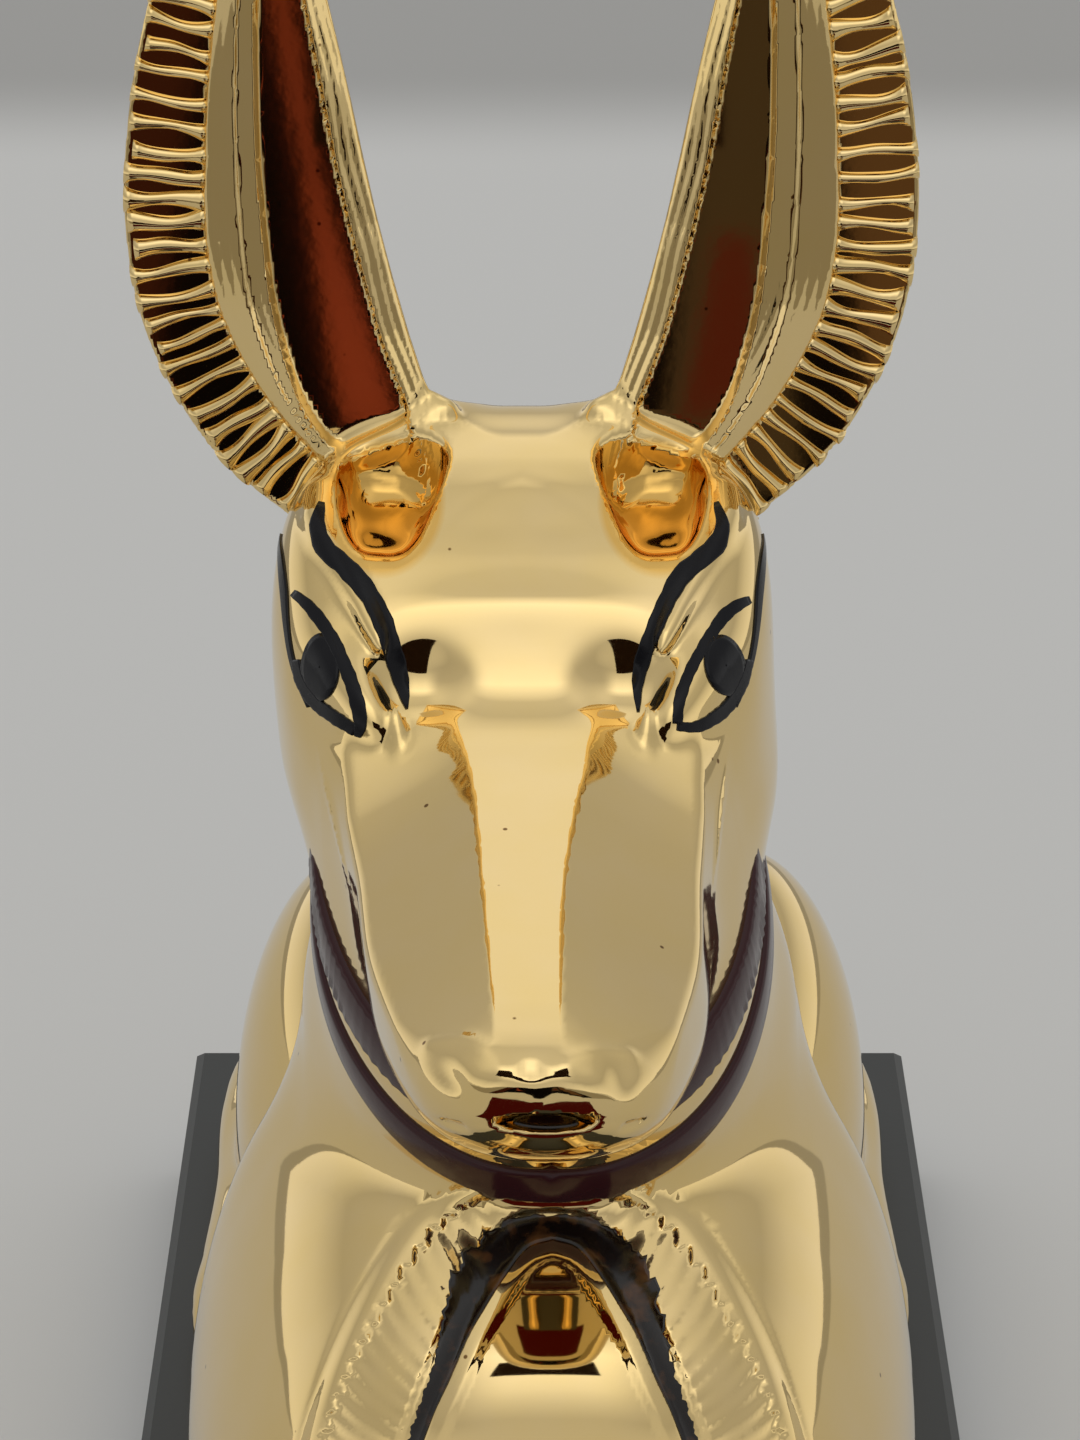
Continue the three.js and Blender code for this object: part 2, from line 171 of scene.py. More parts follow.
def turned(x, y, z, centre, radii, turn):
    # place in a turned ellipsoid's own axes, each counted in its radius
    ax, ay, az = [math.radians(v) for v in turn]
    m = Matrix.Rotation(az, 3, "Z") @ Matrix.Rotation(ax, 3, "X") @ Matrix.Rotation(ay, 3, "Y")
    p = np.stack([x - centre[0], y - centre[1], z - centre[2]]).reshape(3, -1)
    return (np.array(m).T @ p) / np.array(radii)[:, None]


def ellipsoid(x, y, z, centre, radii, turn=(0, 0, 0)):
    # turn is about Y, then X, then Z, in degrees
    local = turned(x, y, z, centre, radii, turn)
    k = np.sqrt((local ** 2).sum(0))
    grad = np.sqrt(((local / np.array(radii)[:, None]) ** 2).sum(0))
    return (k * (k - 1) / np.maximum(grad, 1e-6)).reshape(np.shape(x))


def roundBox(x, y, z, centre, radii, turn, squareness):
    local = np.abs(turned(x, y, z, centre, radii, turn))
    k = (local ** squareness).sum(0) ** (1 / squareness)
    return ((k - 1) * min(radii)).reshape(np.shape(x))


def press(x, y, z, centre, radii, turn, depth):
    # soft thumb mark, or a soft swelling where depth is negative
    local = turned(x, y, z, centre, radii, turn)
    return (depth * np.exp(-(local ** 2).sum(0))).reshape(np.shape(x))


def nearPath(x, y, z, points, radii):
    # rounded bar along straight steps, thickness running from one radius to the next
    best = np.full(np.shape(x), 1e3)
    for k in range(len(points) - 1):
        a, b = np.array(points[k]), np.array(points[k + 1])
        d = b - a
        t = np.clip(((x - a[0]) * d[0] + (y - a[1]) * d[1] + (z - a[2]) * d[2]) / (d @ d), 0, 1)
        gap = np.sqrt((x - a[0] - t * d[0]) ** 2 + (y - a[1] - t * d[1]) ** 2
                      + (z - a[2] - t * d[2]) ** 2)
        best = np.minimum(best, gap - (radii[k] * (1 - t) + radii[k + 1] * t))
    return best


def crease(x, y, z, points, width, depth):
    # groove along a path, or a low ridge where depth is negative
    gap = np.maximum(nearPath(x, y, z, points, [0] * len(points)), 0)
    return depth * np.exp(-(gap / width) ** 2)


def smoothPath(points, count):
    # even steps on a smooth curve through a few points
    points = np.array(points, float)
    run = np.r_[0, np.cumsum(np.linalg.norm(np.diff(points, axis=0), axis=1))]
    at = curveThrough(np.c_[run, points])
    dense = np.stack(at(np.linspace(0, run[-1], 800)), 1)
    length = np.r_[0, np.cumsum(np.linalg.norm(np.diff(dense, axis=0), axis=1))]
    even = np.linspace(0, length[-1], count)
    return np.stack([np.interp(even, length, dense[:, k]) for k in range(dense.shape[1])], 1)


def edgeDistance(x, z, path, inside):
    # signed distance from a path in the ear's plane, and how far along it
    best = np.full(np.shape(x), 1e6)
    along = np.zeros(np.shape(x))
    side = np.zeros(np.shape(x))
    steps = np.diff(path, axis=0)
    lengths = np.linalg.norm(steps, axis=1)
    runs = np.r_[0, np.cumsum(lengths)]
    for k in range(len(steps)):
        (px, pz), (dx, dz) = path[k], steps[k]
        t = np.clip(((x - px) * dx + (z - pz) * dz) / lengths[k] ** 2, 0, 1)
        ox, oz = x - px - t * dx, z - pz - t * dz
        gap = ox * ox + oz * oz
        near = gap < best
        best = np.where(near, gap, best)
        along = np.where(near, runs[k] + t * lengths[k], along)
        side = np.where(near, dx * oz - dz * ox, side)
    return np.sqrt(best) * np.sign(side) * inside, along


# torso, neck and limbs
body = {
    "torso": [
        [-46.6, 1, 37, 33, 29, 2, 2], [-46.1, 12, 44, 33, 20, 2.1, 2.1],
        [-44.6, 20, 50, 31, 13, 2.2, 2.1], [-41, 27, 56.5, 27, 6, 2.3, 2.2],
        [-35, 32.5, 61.5, 22, 0, 2.3, 2.2], [-26, 36.5, 65.5, 17, -5, 2.3, 2.2],
        [-14, 39.5, 69.5, 14, -7, 2.3, 2.2], [2, 41.5, 73, 12, -8, 2.3, 2.2],
        [16, 41.2, 74, 13, -8, 2.3, 2.2], [34, 35.5, 68, 16, -8, 2.2, 2.2],
        [54, 27.5, 60, 20, -6, 2.1, 2.2], [76, 26, 58.5, 22, -6, 2.1, 2.2],
        [96, 26, 54, 20, -6, 2.1, 2.2], [108, 20, 44, 16, -4, 2.1, 2.1],
        [113.5, 9, 29, 12, 0, 2, 2], [115, 1, 16, 12, 8, 2, 2],
    ],
    "neckTilt": 32.0,
    "neckMiddle": (3.8, 87.5),  # y, z where the collar's plane cuts the neck's axis
    "neck": [  # along the axis: half-width, half-depth in front and behind
        [-50, 22, 26, 16], [-36, 28, 34, 25], [-20, 27.4, 35.5, 29.5], [-8, 24.8, 34.6, 32],
        [4, 23.4, 33.2, 33], [14, 22.6, 31, 33], [26, 19, 24, 28],
    ],
    "neckSquareness": 2.15,
    "forelegX": 21.5,
    "foreleg": [
        [-121, 1, 5, 3, 1, 2, 2.6], [-119, 8, 9.5, 4, -2, 2.2, 3], [-113, 10.2, 13, 5, -3, 2.2, 3],
        [-104, 9.8, 14.6, 6, -3, 2.2, 3], [-94, 8.2, 13.6, 6, -3, 2.2, 2.6],
        [-73, 8, 15, 7, -3, 2.2, 2.4], [-47, 9, 19, 8, -3, 2.2, 2.4],
        [-23, 11, 27, 8, -3, 2.1, 2.4], [-9, 8, 22, 8, -2, 2, 2],
    ],
    "hindFootX": 38.4,
    "hindFoot": [
        [46.5, 1, 4.5, 3, 1.5, 2, 2.4], [48.5, 5.2, 8.4, 4, -2, 2.2, 2.8],
        [54, 6.6, 11.4, 5, -3, 2.2, 2.8], [63, 6.2, 11.6, 5, -3, 2.2, 2.6],
        [82, 5.6, 11.4, 5, -3, 2.2, 2.4], [100, 6, 13, 5, -3, 2.2, 2.4],
        [111, 4.5, 12, 5, -2, 2, 2.2], [114, 1, 7, 5, 3, 2, 2],
    ],
    "thigh": ((24, 84, 15), (17, 31, 36.7)),
    "tail": [(0, 98, 48), (0, 108, 38), (0, 112.5, 24), (0, 113.5, 12), (0, 115, 5.4),
             (0, 118, 4.6)],
    "tailRadii": (3.6, 5.4, 2.4),  # at the root, lower down and at the tip
    "tailSteps": 12,
    "toes": {  # gaps beside the paw's middle, their y and z, radii, slope, softness
        "fore": ((-4.9, 0, 4.9), (-119, 11.4), (0.8, 11, 5.4), 29, 1.2),
        "hind": ((-3, 0.2, 3.3), (48.5, 9.6), (0.6, 7.5, 4), 26, 0.8),
    },
    "melt": {"neck": 5, "foreleg": 7, "thigh": 4, "hindFoot": 2.5, "tail": 1.6},
}
torsoField = loftAlongY(body["torso"])
forelegField = loftAlongY(body["foreleg"])
hindFootField = loftAlongY(body["hindFoot"])
neckAt = curveThrough(body["neck"])
neckSlant = math.radians(body["neckTilt"])


def alongNeck(y, z):
    # place on the neck's tilted axis, and distance behind it
    dy, dz = y - body["neckMiddle"][0], z - body["neckMiddle"][1]
    up = -dy * math.sin(neckSlant) + dz * math.cos(neckSlant)
    back = dy * math.cos(neckSlant) + dz * math.sin(neckSlant)
    return up, back


def neckField(x, y, z):
    up, back = alongNeck(y, z)
    a, front, rear = neckAt(up)
    b = np.where(back > 0, rear, front)
    n = body["neckSquareness"]
    share = ((np.abs(x) / a) ** n + (np.abs(back) / b) ** n) ** (1 / n)
    reach = np.hypot(x, back)
    f = reach - reach / np.maximum(share, 1e-6)
    return np.maximum(f, np.maximum(body["neck"][0][0] - up, up - body["neck"][-1][0]))


# fluted ruff on the chest, an arch with its top under the collar
ruff = {
    "outer": [(0, 74), (5, 71.5), (8.4, 69.2), (12.6, 66.4), (16.7, 63), (20.3, 58.8), (23.2, 54),
              (25.6, 48), (27, 41), (27, 34), (25, 27), (20, 20), (12, 15), (0, 13)],
    "inner": [(0, 65.8), (2.6, 65.3), (5, 63.8), (6.9, 62), (8.6, 60.1), (10.4, 57), (12.2, 53.6),
              (14.2, 48), (15.4, 41), (15, 34), (12.6, 28), (7, 24), (0, 22.5)],
    "slope": 1.34,  # length along the sloping chest for each mm of height
    "rim": 1.7,
    "roll": 2.4,
    "pitch": 2.25,
    "depth": 0.22,
    "fluteDepth": 0.09,
    "groove": 0.45,
    "heights": (11, 76),  # the carving stays inside this part of the chest
    "halfWidth": 31,
    "beforeY": -18,
    "skin": 6,
}


def ruffPath(rows):
    return smoothPath([(x, z * ruff["slope"]) for x, z in rows], 60)


ruffOuter, ruffInner = ruffPath(ruff["outer"]), ruffPath(ruff["inner"])


def besideRuff(x, s, path):
    # distance from the path, positive inside its arch
    gap, along = edgeDistance(x, s, path, 1)
    edge = np.interp(s, path[::-1, 1], path[::-1, 0])
    return np.where(x < edge, np.abs(gap), -np.abs(gap)), along


def ruffRelief(x, z):
    # depth of the carving, from the place as seen from in front
    s = z * ruff["slope"]
    e, along = besideRuff(x, s, ruffOuter)
    i = -besideRuff(x, s, ruffInner)[0]
    rim, roll = ruff["rim"], ruff["roll"]
    wave = 0.5 - 0.5 * np.cos(2 * math.pi * along / ruff["pitch"] + 0.5 * np.sin(along / 5))
    wave = wave * smoothStep(3, 8, x)
    depth = -0.2 * np.exp(-((e - 0.5 * rim) / (0.45 * rim)) ** 2) + 0.2 * np.exp(-(e / 0.4) ** 2)
    inBand = smoothStep(rim - 0.5, rim + 0.4, e - 0.7 * wave)
    depth = depth + ruff["depth"] * inBand * smoothStep(-0.2, 0.4, i)
    flutes = np.exp(-((e - rim) / 2.0) ** 2) + 0.6 * np.exp(-((i - 2.4) / 1.5) ** 2) + 0.1
    depth = depth + ruff["fluteDepth"] * wave * flutes * inBand * smoothStep(1.8, 2.8, i)
    depth = depth + ruff["groove"] * smoothStep(2.8, 1.6, i) * smoothStep(-0.4, 1.0, i)
    return depth - 0.2 * np.sin(math.pi * np.clip(-i / roll, 0, 1)) ** 2


def toed(f, x, y, z, middleX, toes):
    # a paw with the gaps between its toes
    besides, (toeY, toeZ), radii, slope, soft = toes
    for beside in besides:
        gap = ellipsoid(x, y, z, (middleX + beside, toeY, toeZ), radii, (slope, 0, 0))
        f = carve(f, gap, soft)
    return f


def tailBar():
    # path of the tail and its thickness along it
    root, low, tip = body["tailRadii"]
    last = body["tailSteps"] - 1
    radii = [root + (low - root) * k / last for k in range(last)] + [tip]
    return smoothPath(body["tail"], body["tailSteps"]), radii


tailPath, tailRadii = tailBar()


def bodyField(x, y, z):
    x = np.abs(x)
    soft = body["melt"]
    f = melt(torsoField(x, y, z), neckField(x, y, z), soft["neck"])
    leg = forelegField(x, y, z, body["forelegX"])
    leg = toed(leg, x, y, z, body["forelegX"], body["toes"]["fore"])
    f = melt(f, leg, soft["foreleg"])
    f = melt(f, ellipsoid(x, y, z, *body["thigh"]), soft["thigh"])
    foot = hindFootField(x, y, z, body["hindFootX"])
    foot = toed(foot, x, y, z, body["hindFootX"], body["toes"]["hind"])
    f = melt(f, foot, soft["hindFoot"])
    f = melt(f, nearPath(x, y, z, tailPath, tailRadii), soft["tail"])
    low, high = ruff["heights"]
    chest = (y < ruff["beforeY"]) & (z > low) & (z < high)
    chest = chest & (x < ruff["halfWidth"]) & (np.abs(f) < ruff["skin"])
    if chest.any():
        f[chest] = f[chest] + ruffRelief(x[chest], z[chest])
    return within(f, -z, 0.8)


# head: skull and muzzle, planed along the nose
head = {
    "loft": [
        [-67.9, 0.5, 105.6, 105, 104.4, 2, 2], [-67.7, 3.6, 107.4, 105, 102, 2.2, 2],
        [-67.1, 6.0, 108.6, 104.9, 100.2, 2.4, 2.1], [-66, 8.0, 109.7, 104.7, 98.8, 2.6, 2.1],
        [-64.4, 9.7, 110.9, 104.4, 97.2, 2.8, 2.2], [-62, 11.3, 112, 103.8, 95.6, 3.0, 2.3],
        [-58, 12.7, 112.9, 103, 93.6, 3.2, 2.4], [-51, 14.4, 113.9, 102, 91, 3.4, 2.4],
        [-41, 16.2, 115.4, 101, 87.5, 3.4, 2.4], [-27, 17.5, 117.5, 100.5, 84, 3.2, 2.3],
        [-16, 19.4, 119.6, 101, 82, 3, 2.3], [-9, 21.6, 121.7, 103, 81, 3.4, 2.3],
        [-2, 24.3, 127.2, 105, 81, 4.4, 2.3], [3, 25.6, 131, 105.5, 81, 4.6, 2.3],
        [8, 26.4, 133.9, 106, 82, 4.6, 2.3], [13, 26.6, 136, 106.5, 84, 4.4, 2.2],
        [18, 26.2, 136.9, 107, 86, 4, 2.2], [27, 22.6, 136.4, 108, 92, 3, 2.1],
        [35, 16, 129, 109, 99, 2.3, 2], [39, 8, 120, 110, 104, 2, 2],
        [40.2, 1, 111.5, 110, 109, 2, 2],
    ],
    "bridge": [  # y, height of the flat strip, its half-width, fall of the flanks, middle
        [-70, 109.0, 3.0, 0.30, -0.6], [-64, 109.8, 3.0, 0.42, -0.6],
        [-52, 111.5, 3.4, 0.52, -0.6], [-40, 113.1, 3.9, 0.56, -0.5],
        [-26, 115.1, 5.0, 0.56, 0.1], [-20, 115.9, 5.8, 0.50, 0.4], [-16.5, 116.5, 6.2, 0.38, 0.3],
        [-13.5, 117.1, 6.7, 0.25, 0.3], [-11, 118.1, 7.1, 0.10, 0.2], [-9, 119.6, 7.4, 0.04, 0.2],
        [-7, 121.8, 8, 0, 0], [-3, 127, 9, 0, 0], [3, 136, 10, 0, 0], [12, 150, 12, 0, 0],
    ],
    "planedEdge": 0.14,  # softness of the edges between strip and flanks
    "planedTo": 6,  # y where the planing ends
    "planedMelt": (0.8, 2.4),  # softness against the loft, and how much more at the nose
    "noseFrom": (-54, -62),
    "eyeball": ((17.7, -4.4, 118.6), (10, 3.9, 4.6), (0, -20, 67)),
    "eyeMelt": 1.6,
    "brow": [(20.9, 12.5, 131.8), (20.9, 8, 130.4), (18.9, 3, 128.3), (16.0, -3, 125.6),
             (13.2, -9, 121.4), (12.5, -12.4, 117.0), (12.1, -14.6, 113.4)],
    "browRadii": (1.7, 0.6),
    "browSteps": 11,
    "browMelt": 1.3,
    "lidFold": [(20.8, 6, 126.6), (18.8, 0, 124.8), (16.6, -6, 121.4), (15.2, -9.5, 119.2)],
    "pocket": ((14.0, 8.6, 137.4), (6.0, 10.2, 8.6), (2, 0, 6)),
    "pocketSquareness": 3.2,
    "pocketEdge": 0.8,
    "pocketNarrows": (0.4, 14, -2),  # share, and the y between which it sets in
    "pocketRidge": [(8.0, 20.4, 138.4), (12.0, 19.6, 136.6), (15.3, 19.1, 134.8),
                    (18.8, 18.8, 133.0)],
    "pocketRidgeRadii": (0.9, 1.0, 0.8, 0.5),
}
headLoft = loftAlongY(head["loft"])
bridgeAt = curveThrough(head["bridge"])
browPath = smoothPath(head["brow"], head["browSteps"])
browRadii = np.linspace(*head["browRadii"], head["browSteps"])


def marked(f, part, x, y, z, marks, creases):
    # presses soft marks and creases into one part of a field
    if not part.any():
        return f
    f = f.copy()
    p = (x[part], y[part], z[part])
    for mark in marks:
        f[part] += press(*p, *mark)
    for points, width, depth in creases:
        f[part] += crease(*p, points, width, depth)
    return f


def headField(x, y, z):
    top, half, fall, middle = bridgeAt(y)
    beside = np.abs(x - middle)
    signed = x
    x = np.abs(x)
    f = headLoft(x, y, z)
    strip = z - top
    flank = (strip + fall * (beside - half)) / np.sqrt(1 + fall ** 2)
    planed = within(strip, flank, head["planedEdge"])
    planed = np.where(y < head["planedTo"], planed, planed - 40)
    soft, softer = head["planedMelt"]
    f = within(f, planed, soft + softer * smoothStep(*head["noseFrom"], y))
    narrows, rear, near = head["pocketNarrows"]
    spread = 1 + narrows * smoothStep(rear, near, y)  # the pocket narrows towards the brow
    pocketX = head["pocket"][0][0]
    px = pocketX + (x - pocketX) * spread
    pocket = roundBox(px, y, z, *head["pocket"], head["pocketSquareness"])
    f = carve(f, pocket, head["pocketEdge"])
    f = melt(f, ellipsoid(x, y, z, *head["eyeball"]), head["eyeMelt"])
    f = melt(f, nearPath(x, y, z, browPath, browRadii), head["browMelt"])
    face = (z > 84) & (y < 32) & (np.abs(f) < 8)
    f = marked(f, face, x, y, z, faceMarks, faceCreases)
    nose = (y < -56) & (np.abs(f) < 5)
    f = marked(f, nose, signed, y, z, noseMarks, noseCreases)
    if nose.any():
        slit = ellipsoid(signed[nose], y[nose], z[nose], *mouth["slit"])
        f[nose] = carve(f[nose], slit, mouth["edge"])
    return f


# small marks on the face: centre, radii, turn, depth (negative swells)
faceMarks = [
    ((10.2, -8.6, 120.6), (3.6, 2.8, 3.4), (0, 0, 0), 3.8),  # dent beside the brow's end
    ((0, -3.6, 126.4), (9, 2.6, 3.2), (0, 0, 0), -0.45),  # low swellings across the forehead
    ((0, 8.6, 134.2), (7, 2.0, 2.4), (0, 0, 0), -0.22),
    ((3.5, 4.2, 131.8), (3.2, 1.6, 1.8), (0, 0, 0), 0.16),
]
faceCreases = [
    (smoothPath(head["lidFold"], 6), 0.55, -0.3),
    (smoothPath([(7.6, -65.6, 101.3), (10.8, -60, 101.2), (13, -52, 100.9),
                 (14.8, -43, 100.4)], 8), 0.5, 0.5),  # parting of the lips along the muzzle
    (smoothPath([(0, 9.8, 134.8), (3, 8.6, 134.3), (6.5, 6.0, 133),
                 (9.6, 3.2, 131.2)], 7), 0.9, 0.06),  # shallow arch on the forehead
]
# nose and mouth, not alike on the two sides
noseMarks = [
    ((-0.6, -67.2, 108.0), (1.3, 1.6, 0.8), (0, 0, 0), 0.35),
    ((-7.8, -65.0, 106.0), (2.6, 2.6, 1.5), (0, 14, 0), 0.6),
    ((7.4, -65.4, 106.0), (1.4, 2.4, 2.0), (0, -24, 0), 0.55),
]
noseCreases = [
    (smoothPath([(-9.9, -60.8, 107.3), (-8.3, -61.6, 108.2), (-6.6, -62.5, 108.8),
                 (-4.7, -64.7, 109.2)], 7), 1.1, -0.2),
    (smoothPath([(8.6, -62.6, 107.4), (6.0, -64.2, 108.7), (3.2, -66.1, 108.9)], 6), 1.1, -0.2),
    (smoothPath([(-7.0, -65.4, 102.4), (-4.4, -66.9, 102.9), (0.4, -67.6, 103.0),
                 (5.0, -66.8, 102.9), (7.4, -65.4, 102.4)], 10), 0.6, 0.14),
]
mouth = {
    "slit": ((0.4, -68.6, 103.0), (4.9, 4.6, 1.05)),
    "edge": 0.3,
    # painted shade: a dark lens laid in the mouth's slit
    "shadeLens": (546, 1122, 33, 6.5, 1),  # photo pixels: middle, half-width, half-height, tilt
}


# ears: an outline, with a carved relief in front and a rounded back
ear = {
    "outline": [  # height, inner edge, outer edge, thickness
        [121, 9, 17, 15], [125.5, 8.5, 23.4, 14], [129.5, 8.2, 29.3, 13], [135.6, 8.2, 34.4, 12],
        [141.7, 10.3, 37.7, 11.2], [148, 12.0, 40.1, 10.5], [156.5, 14.2, 41.4, 9.8],
        [165, 16.0, 41.3, 9], [175, 18.0, 39.9, 8.2], [185, 20.2, 37.4, 7.2],
        [195, 22.4, 34.2, 6], [203, 24.2, 31.2, 4.8], [208.5, 25.4, 28.9, 3.4],
        [211.6, 26.4, 27.4, 1.4],
    ],
    "foot": 121.0,
    "tip": 211.6,
    "taperOver": 30,  # the relief gets shallower over this height below the tip
    "frontY": 19.0,
    "lean": 5.0,
    "rim": 0.1,
    "ribStart": 21.5,  # along the outer edge, where the ribbed band begins
    "ribEnd": 8.5,
    "ribDepth": 1.0,
    "ribPitch": 2.8,
    "rollRise": 1.1,
    "rollStep": 0.62,  # share of the roll's width where one facet gives way to the next
    "streaks": (1.1, 0.012),  # pitch and depth of the brush-like lines on the roll
    "ridgeFall": 0.32,
    "ridges": 3.0,  # width of the finely ridged inner edge
    "narrower": 1.3,  # by so much the hollow of one ear is narrower
    "hollowDepth": 2.2,
    "hollowWall": 0.6,  # how far the wall takes to come down to the floor
    "hollowMelt": (2.2, 0.4),  # softness of the hollow's lower corner and of its inner edge
    "hollowFoot": (11.2, 136.2, -0.34),  # x, height and slope of the hollow's lower edge
    "hollowSide": [  # height and x of the hollow's outer edge
        [126, 8], [131.5, 15.6], [134.2, 19.6], [137, 22.0], [141.9, 24.2], [150.6, 26.2],
        [158, 26.9], [166.6, 27.4], [175, 27.4], [182, 27.2], [190, 26.4], [195, 25.8],
        [213, 23.9],
    ],
}
earAt = curveThrough(ear["outline"])
hollowAt = curveThrough(ear["hollowSide"])


def earEdges():
    heights = np.linspace(ear["foot"], ear["tip"], 44)
    inner, outer, _ = earAt(heights)
    lobe = [(2.0, 119.5), (10.0, 119.8)]
    outerPath = smoothPath(lobe + [(outer[k], heights[k]) for k in range(0, 44, 3)]
                           + [(outer[-1], heights[-1])], 46)
    innerPath = np.stack([inner, heights], 1)[::3]
    return outerPath, innerPath


outerEdge, innerEdge = earEdges()


def earFront(z):
    return ear["frontY"] + ear["lean"] * (z - ear["foot"]) / (ear["tip"] - ear["foot"])


def earBands(x, z):
    # distances from both edges, counted in the bands of the widest place
    e, along = edgeDistance(x, z, outerEdge, 1)
    i, _ = edgeDistance(x, z, innerEdge, -1)
    narrow = np.clip((e + i + 9) / 34, 0.3, 1)
    return e, i, e / narrow, i / narrow, along


def earHollow(x, z, inn, narrower):
    # distance inside the hollow's edge, and height over its lower end
    footX, footZ, footSlope = ear["hollowFoot"]
    over = z - footZ - footSlope * (x - footX)
    side, ahead = hollowAt(z)[0], hollowAt(z + 0.5)[0]
    fromSide = (side - narrower - x) / np.sqrt(1 + 4 * (ahead - side) ** 2)
    corner, inner = ear["hollowMelt"]
    return melt(melt(fromSide, over, corner), inn - ear["ridges"], inner), over


def rollRelief(en, along, inHollow):
    # smooth roll between ribs and hollow, in two facets that both look outwards
    past = np.maximum(en - ear["ribEnd"], 0)
    bulge = past / (past + np.maximum(-inHollow, 0) + 0.01) * smoothStep(0, 0.3, past)
    bulge = np.clip(bulge, 0, 1)
    step = ear["rollStep"]
    stepped = smoothStep(step - 0.04, step + 0.06, bulge)
    facets = bulge / step * (1 - stepped) + (0.5 + (bulge - step) * 1.1) * stepped
    pitch, depth = ear["streaks"]
    streaks = np.cos(2 * math.pi * past / pitch + 1.2 * np.sin(along / 5))
    streaks = streaks * smoothStep(0, 0.15, bulge) * smoothStep(0.98, 0.88, bulge)
    return depth * streaks - ear["rollRise"] * facets * smoothStep(0, 0.06, bulge)


def ridgedEdge(relief, inn, z):
    # finely ridged band along the inner edge, turned to the gap between the ears
    ridges = ear["ridges"]
    ridged = smoothStep(ridges + 0.1, ridges - 0.3, inn)
    fall = ear["ridgeFall"] * np.maximum(ridges - inn, 0)
    lines = 0.03 * np.cos(6.0 * inn + 0.9 * np.sin(z / 2.7))
    band = np.maximum(relief, 0) * (1 - ridged) + fall + ridged * lines
    return np.where(inn < ridges + 0.4, band, relief)


def earField(x, y, z):
    narrower = np.where(x > 0, ear["narrower"], 0)
    x = np.abs(x)
    e, i, en, inn, along = earBands(x, z)
    front = earFront(z)
    thick = earAt(z)[2]
    taper = smoothStep(ear["tip"], ear["tip"] - ear["taperOver"], z)
    inHollow, over = earHollow(x, z, inn, narrower)
    relief = ridgedEdge(rollRelief(en, along, inHollow), inn, z) * (0.3 + 0.7 * taper)
    t = np.clip(inHollow / ear["hollowWall"], 0, 1)
    floor = np.minimum(ear["hollowDepth"], 0.5 * thick) * (1 - 0.2 * smoothStep(0, 60, over))
    steep = np.where((t > 0) & (t < 1), floor * 2.4 * (1 - t) ** 1.4 / ear["hollowWall"], 0)
    relief = relief + floor * (1 - (1 - t) ** 2.4)
    u = np.clip(e / np.maximum(e + i, 0.5), 0, 1)
    back = front + 0.9 + thick * np.sin(math.pi * u) ** 0.7
    f = within((front + relief - y) / np.sqrt(1.3 + steep ** 2), (y - back) / 1.3, 0.5)
    f = within(f, np.maximum(-e, -i), 0.9)
    recess = np.minimum(en - ear["rim"], ear["ribEnd"] - en)
    recess = melt(recess, along - ear["ribStart"], 0.8)
    pit = y - front - ear["ribDepth"] * (0.4 + 0.6 * taper)
    return carve(f, np.maximum(-recess, pit), 0.5)


# the casting isn't quite true: neck and head stand a little to one side, and turn back
lean = {
    "rows": [[-30, 0], [60, 0], [72, -0.3], [85, -1.0], [98, -1.8], [106, -2.6], [115, -3.1],
             [124, -3.2], [260, -3.2]],  # height and how far to the side
    "turn": 0.021,
    "turnFrom": -11,
}
leanAt = curveThrough(lean["rows"])


def leaning(y, z):
    ahead = np.maximum(lean["turnFrom"] - y, 0)
    return leanAt(z)[0] + lean["turn"] * ahead * smoothStep(60, 85, z)


joins = {  # softness where the large forms melt together, mm
    "head": 2.5,
    "ear": 1.8,
    "crown": (5, 13.5, 8.5),  # by so much softer towards the crown, between these x
    "ridge": 1.5,
}


def castField(x, y, z):
    x = x - leaning(y, z)
    f = neckField(x, y, z)
    low = z < 90
    if low.any():
        f[low] = bodyField(x[low], y[low], z[low])
    f = melt(f, headField(x, y, z), joins["head"])
    nearEars = (z > 112) & (y > 5)
    if nearEars.any():
        p = (x[nearEars], y[nearEars], z[nearEars])
        fuller, outer, inner = joins["crown"]
        soft = joins["ear"] + fuller * smoothStep(outer, inner, np.abs(p[0]))
        g = melt(f[nearEars], earField(*p), soft)
        ridge = nearPath(np.abs(p[0]), *p[1:], head["pocketRidge"], head["pocketRidgeRadii"])
        f[nearEars] = melt(g, ridge, joins["ridge"])
    return f


# the casting is one field; each mesh takes its share, with the cuts out of sight
cuts = {"collar": 2.0, "earHeight": 140.0, "chestY": -22.0, "chestZ": 24.0, "overlap": 1.0}


def chestSide(y, z):
    return np.maximum(y - cuts["chestY"], cuts["chestZ"] - z)


def shareOf(f, past):
    # past its cut a share runs on a little, just under its neighbour's surface
    return np.maximum(f + 0.1 * smoothStep(0, 0.6, past), past - cuts["overlap"])


def bodyShare(x, y, z):
    f = np.maximum(castField(x, y, z), alongNeck(y, z)[0] - cuts["collar"])
    return shareOf(f, -chestSide(y, z))


def chestShare(x, y, z):
    f = np.maximum(castField(x, y, z), alongNeck(y, z)[0] - cuts["collar"])
    return shareOf(f, chestSide(y, z))


def headShare(x, y, z):
    f = np.maximum(castField(x, y, z), cuts["collar"] - alongNeck(y, z)[0])
    return shareOf(f, z - cuts["earHeight"])


def earShare(x, y, z):
    return shareOf(castField(x, y, z), cuts["earHeight"] - z)


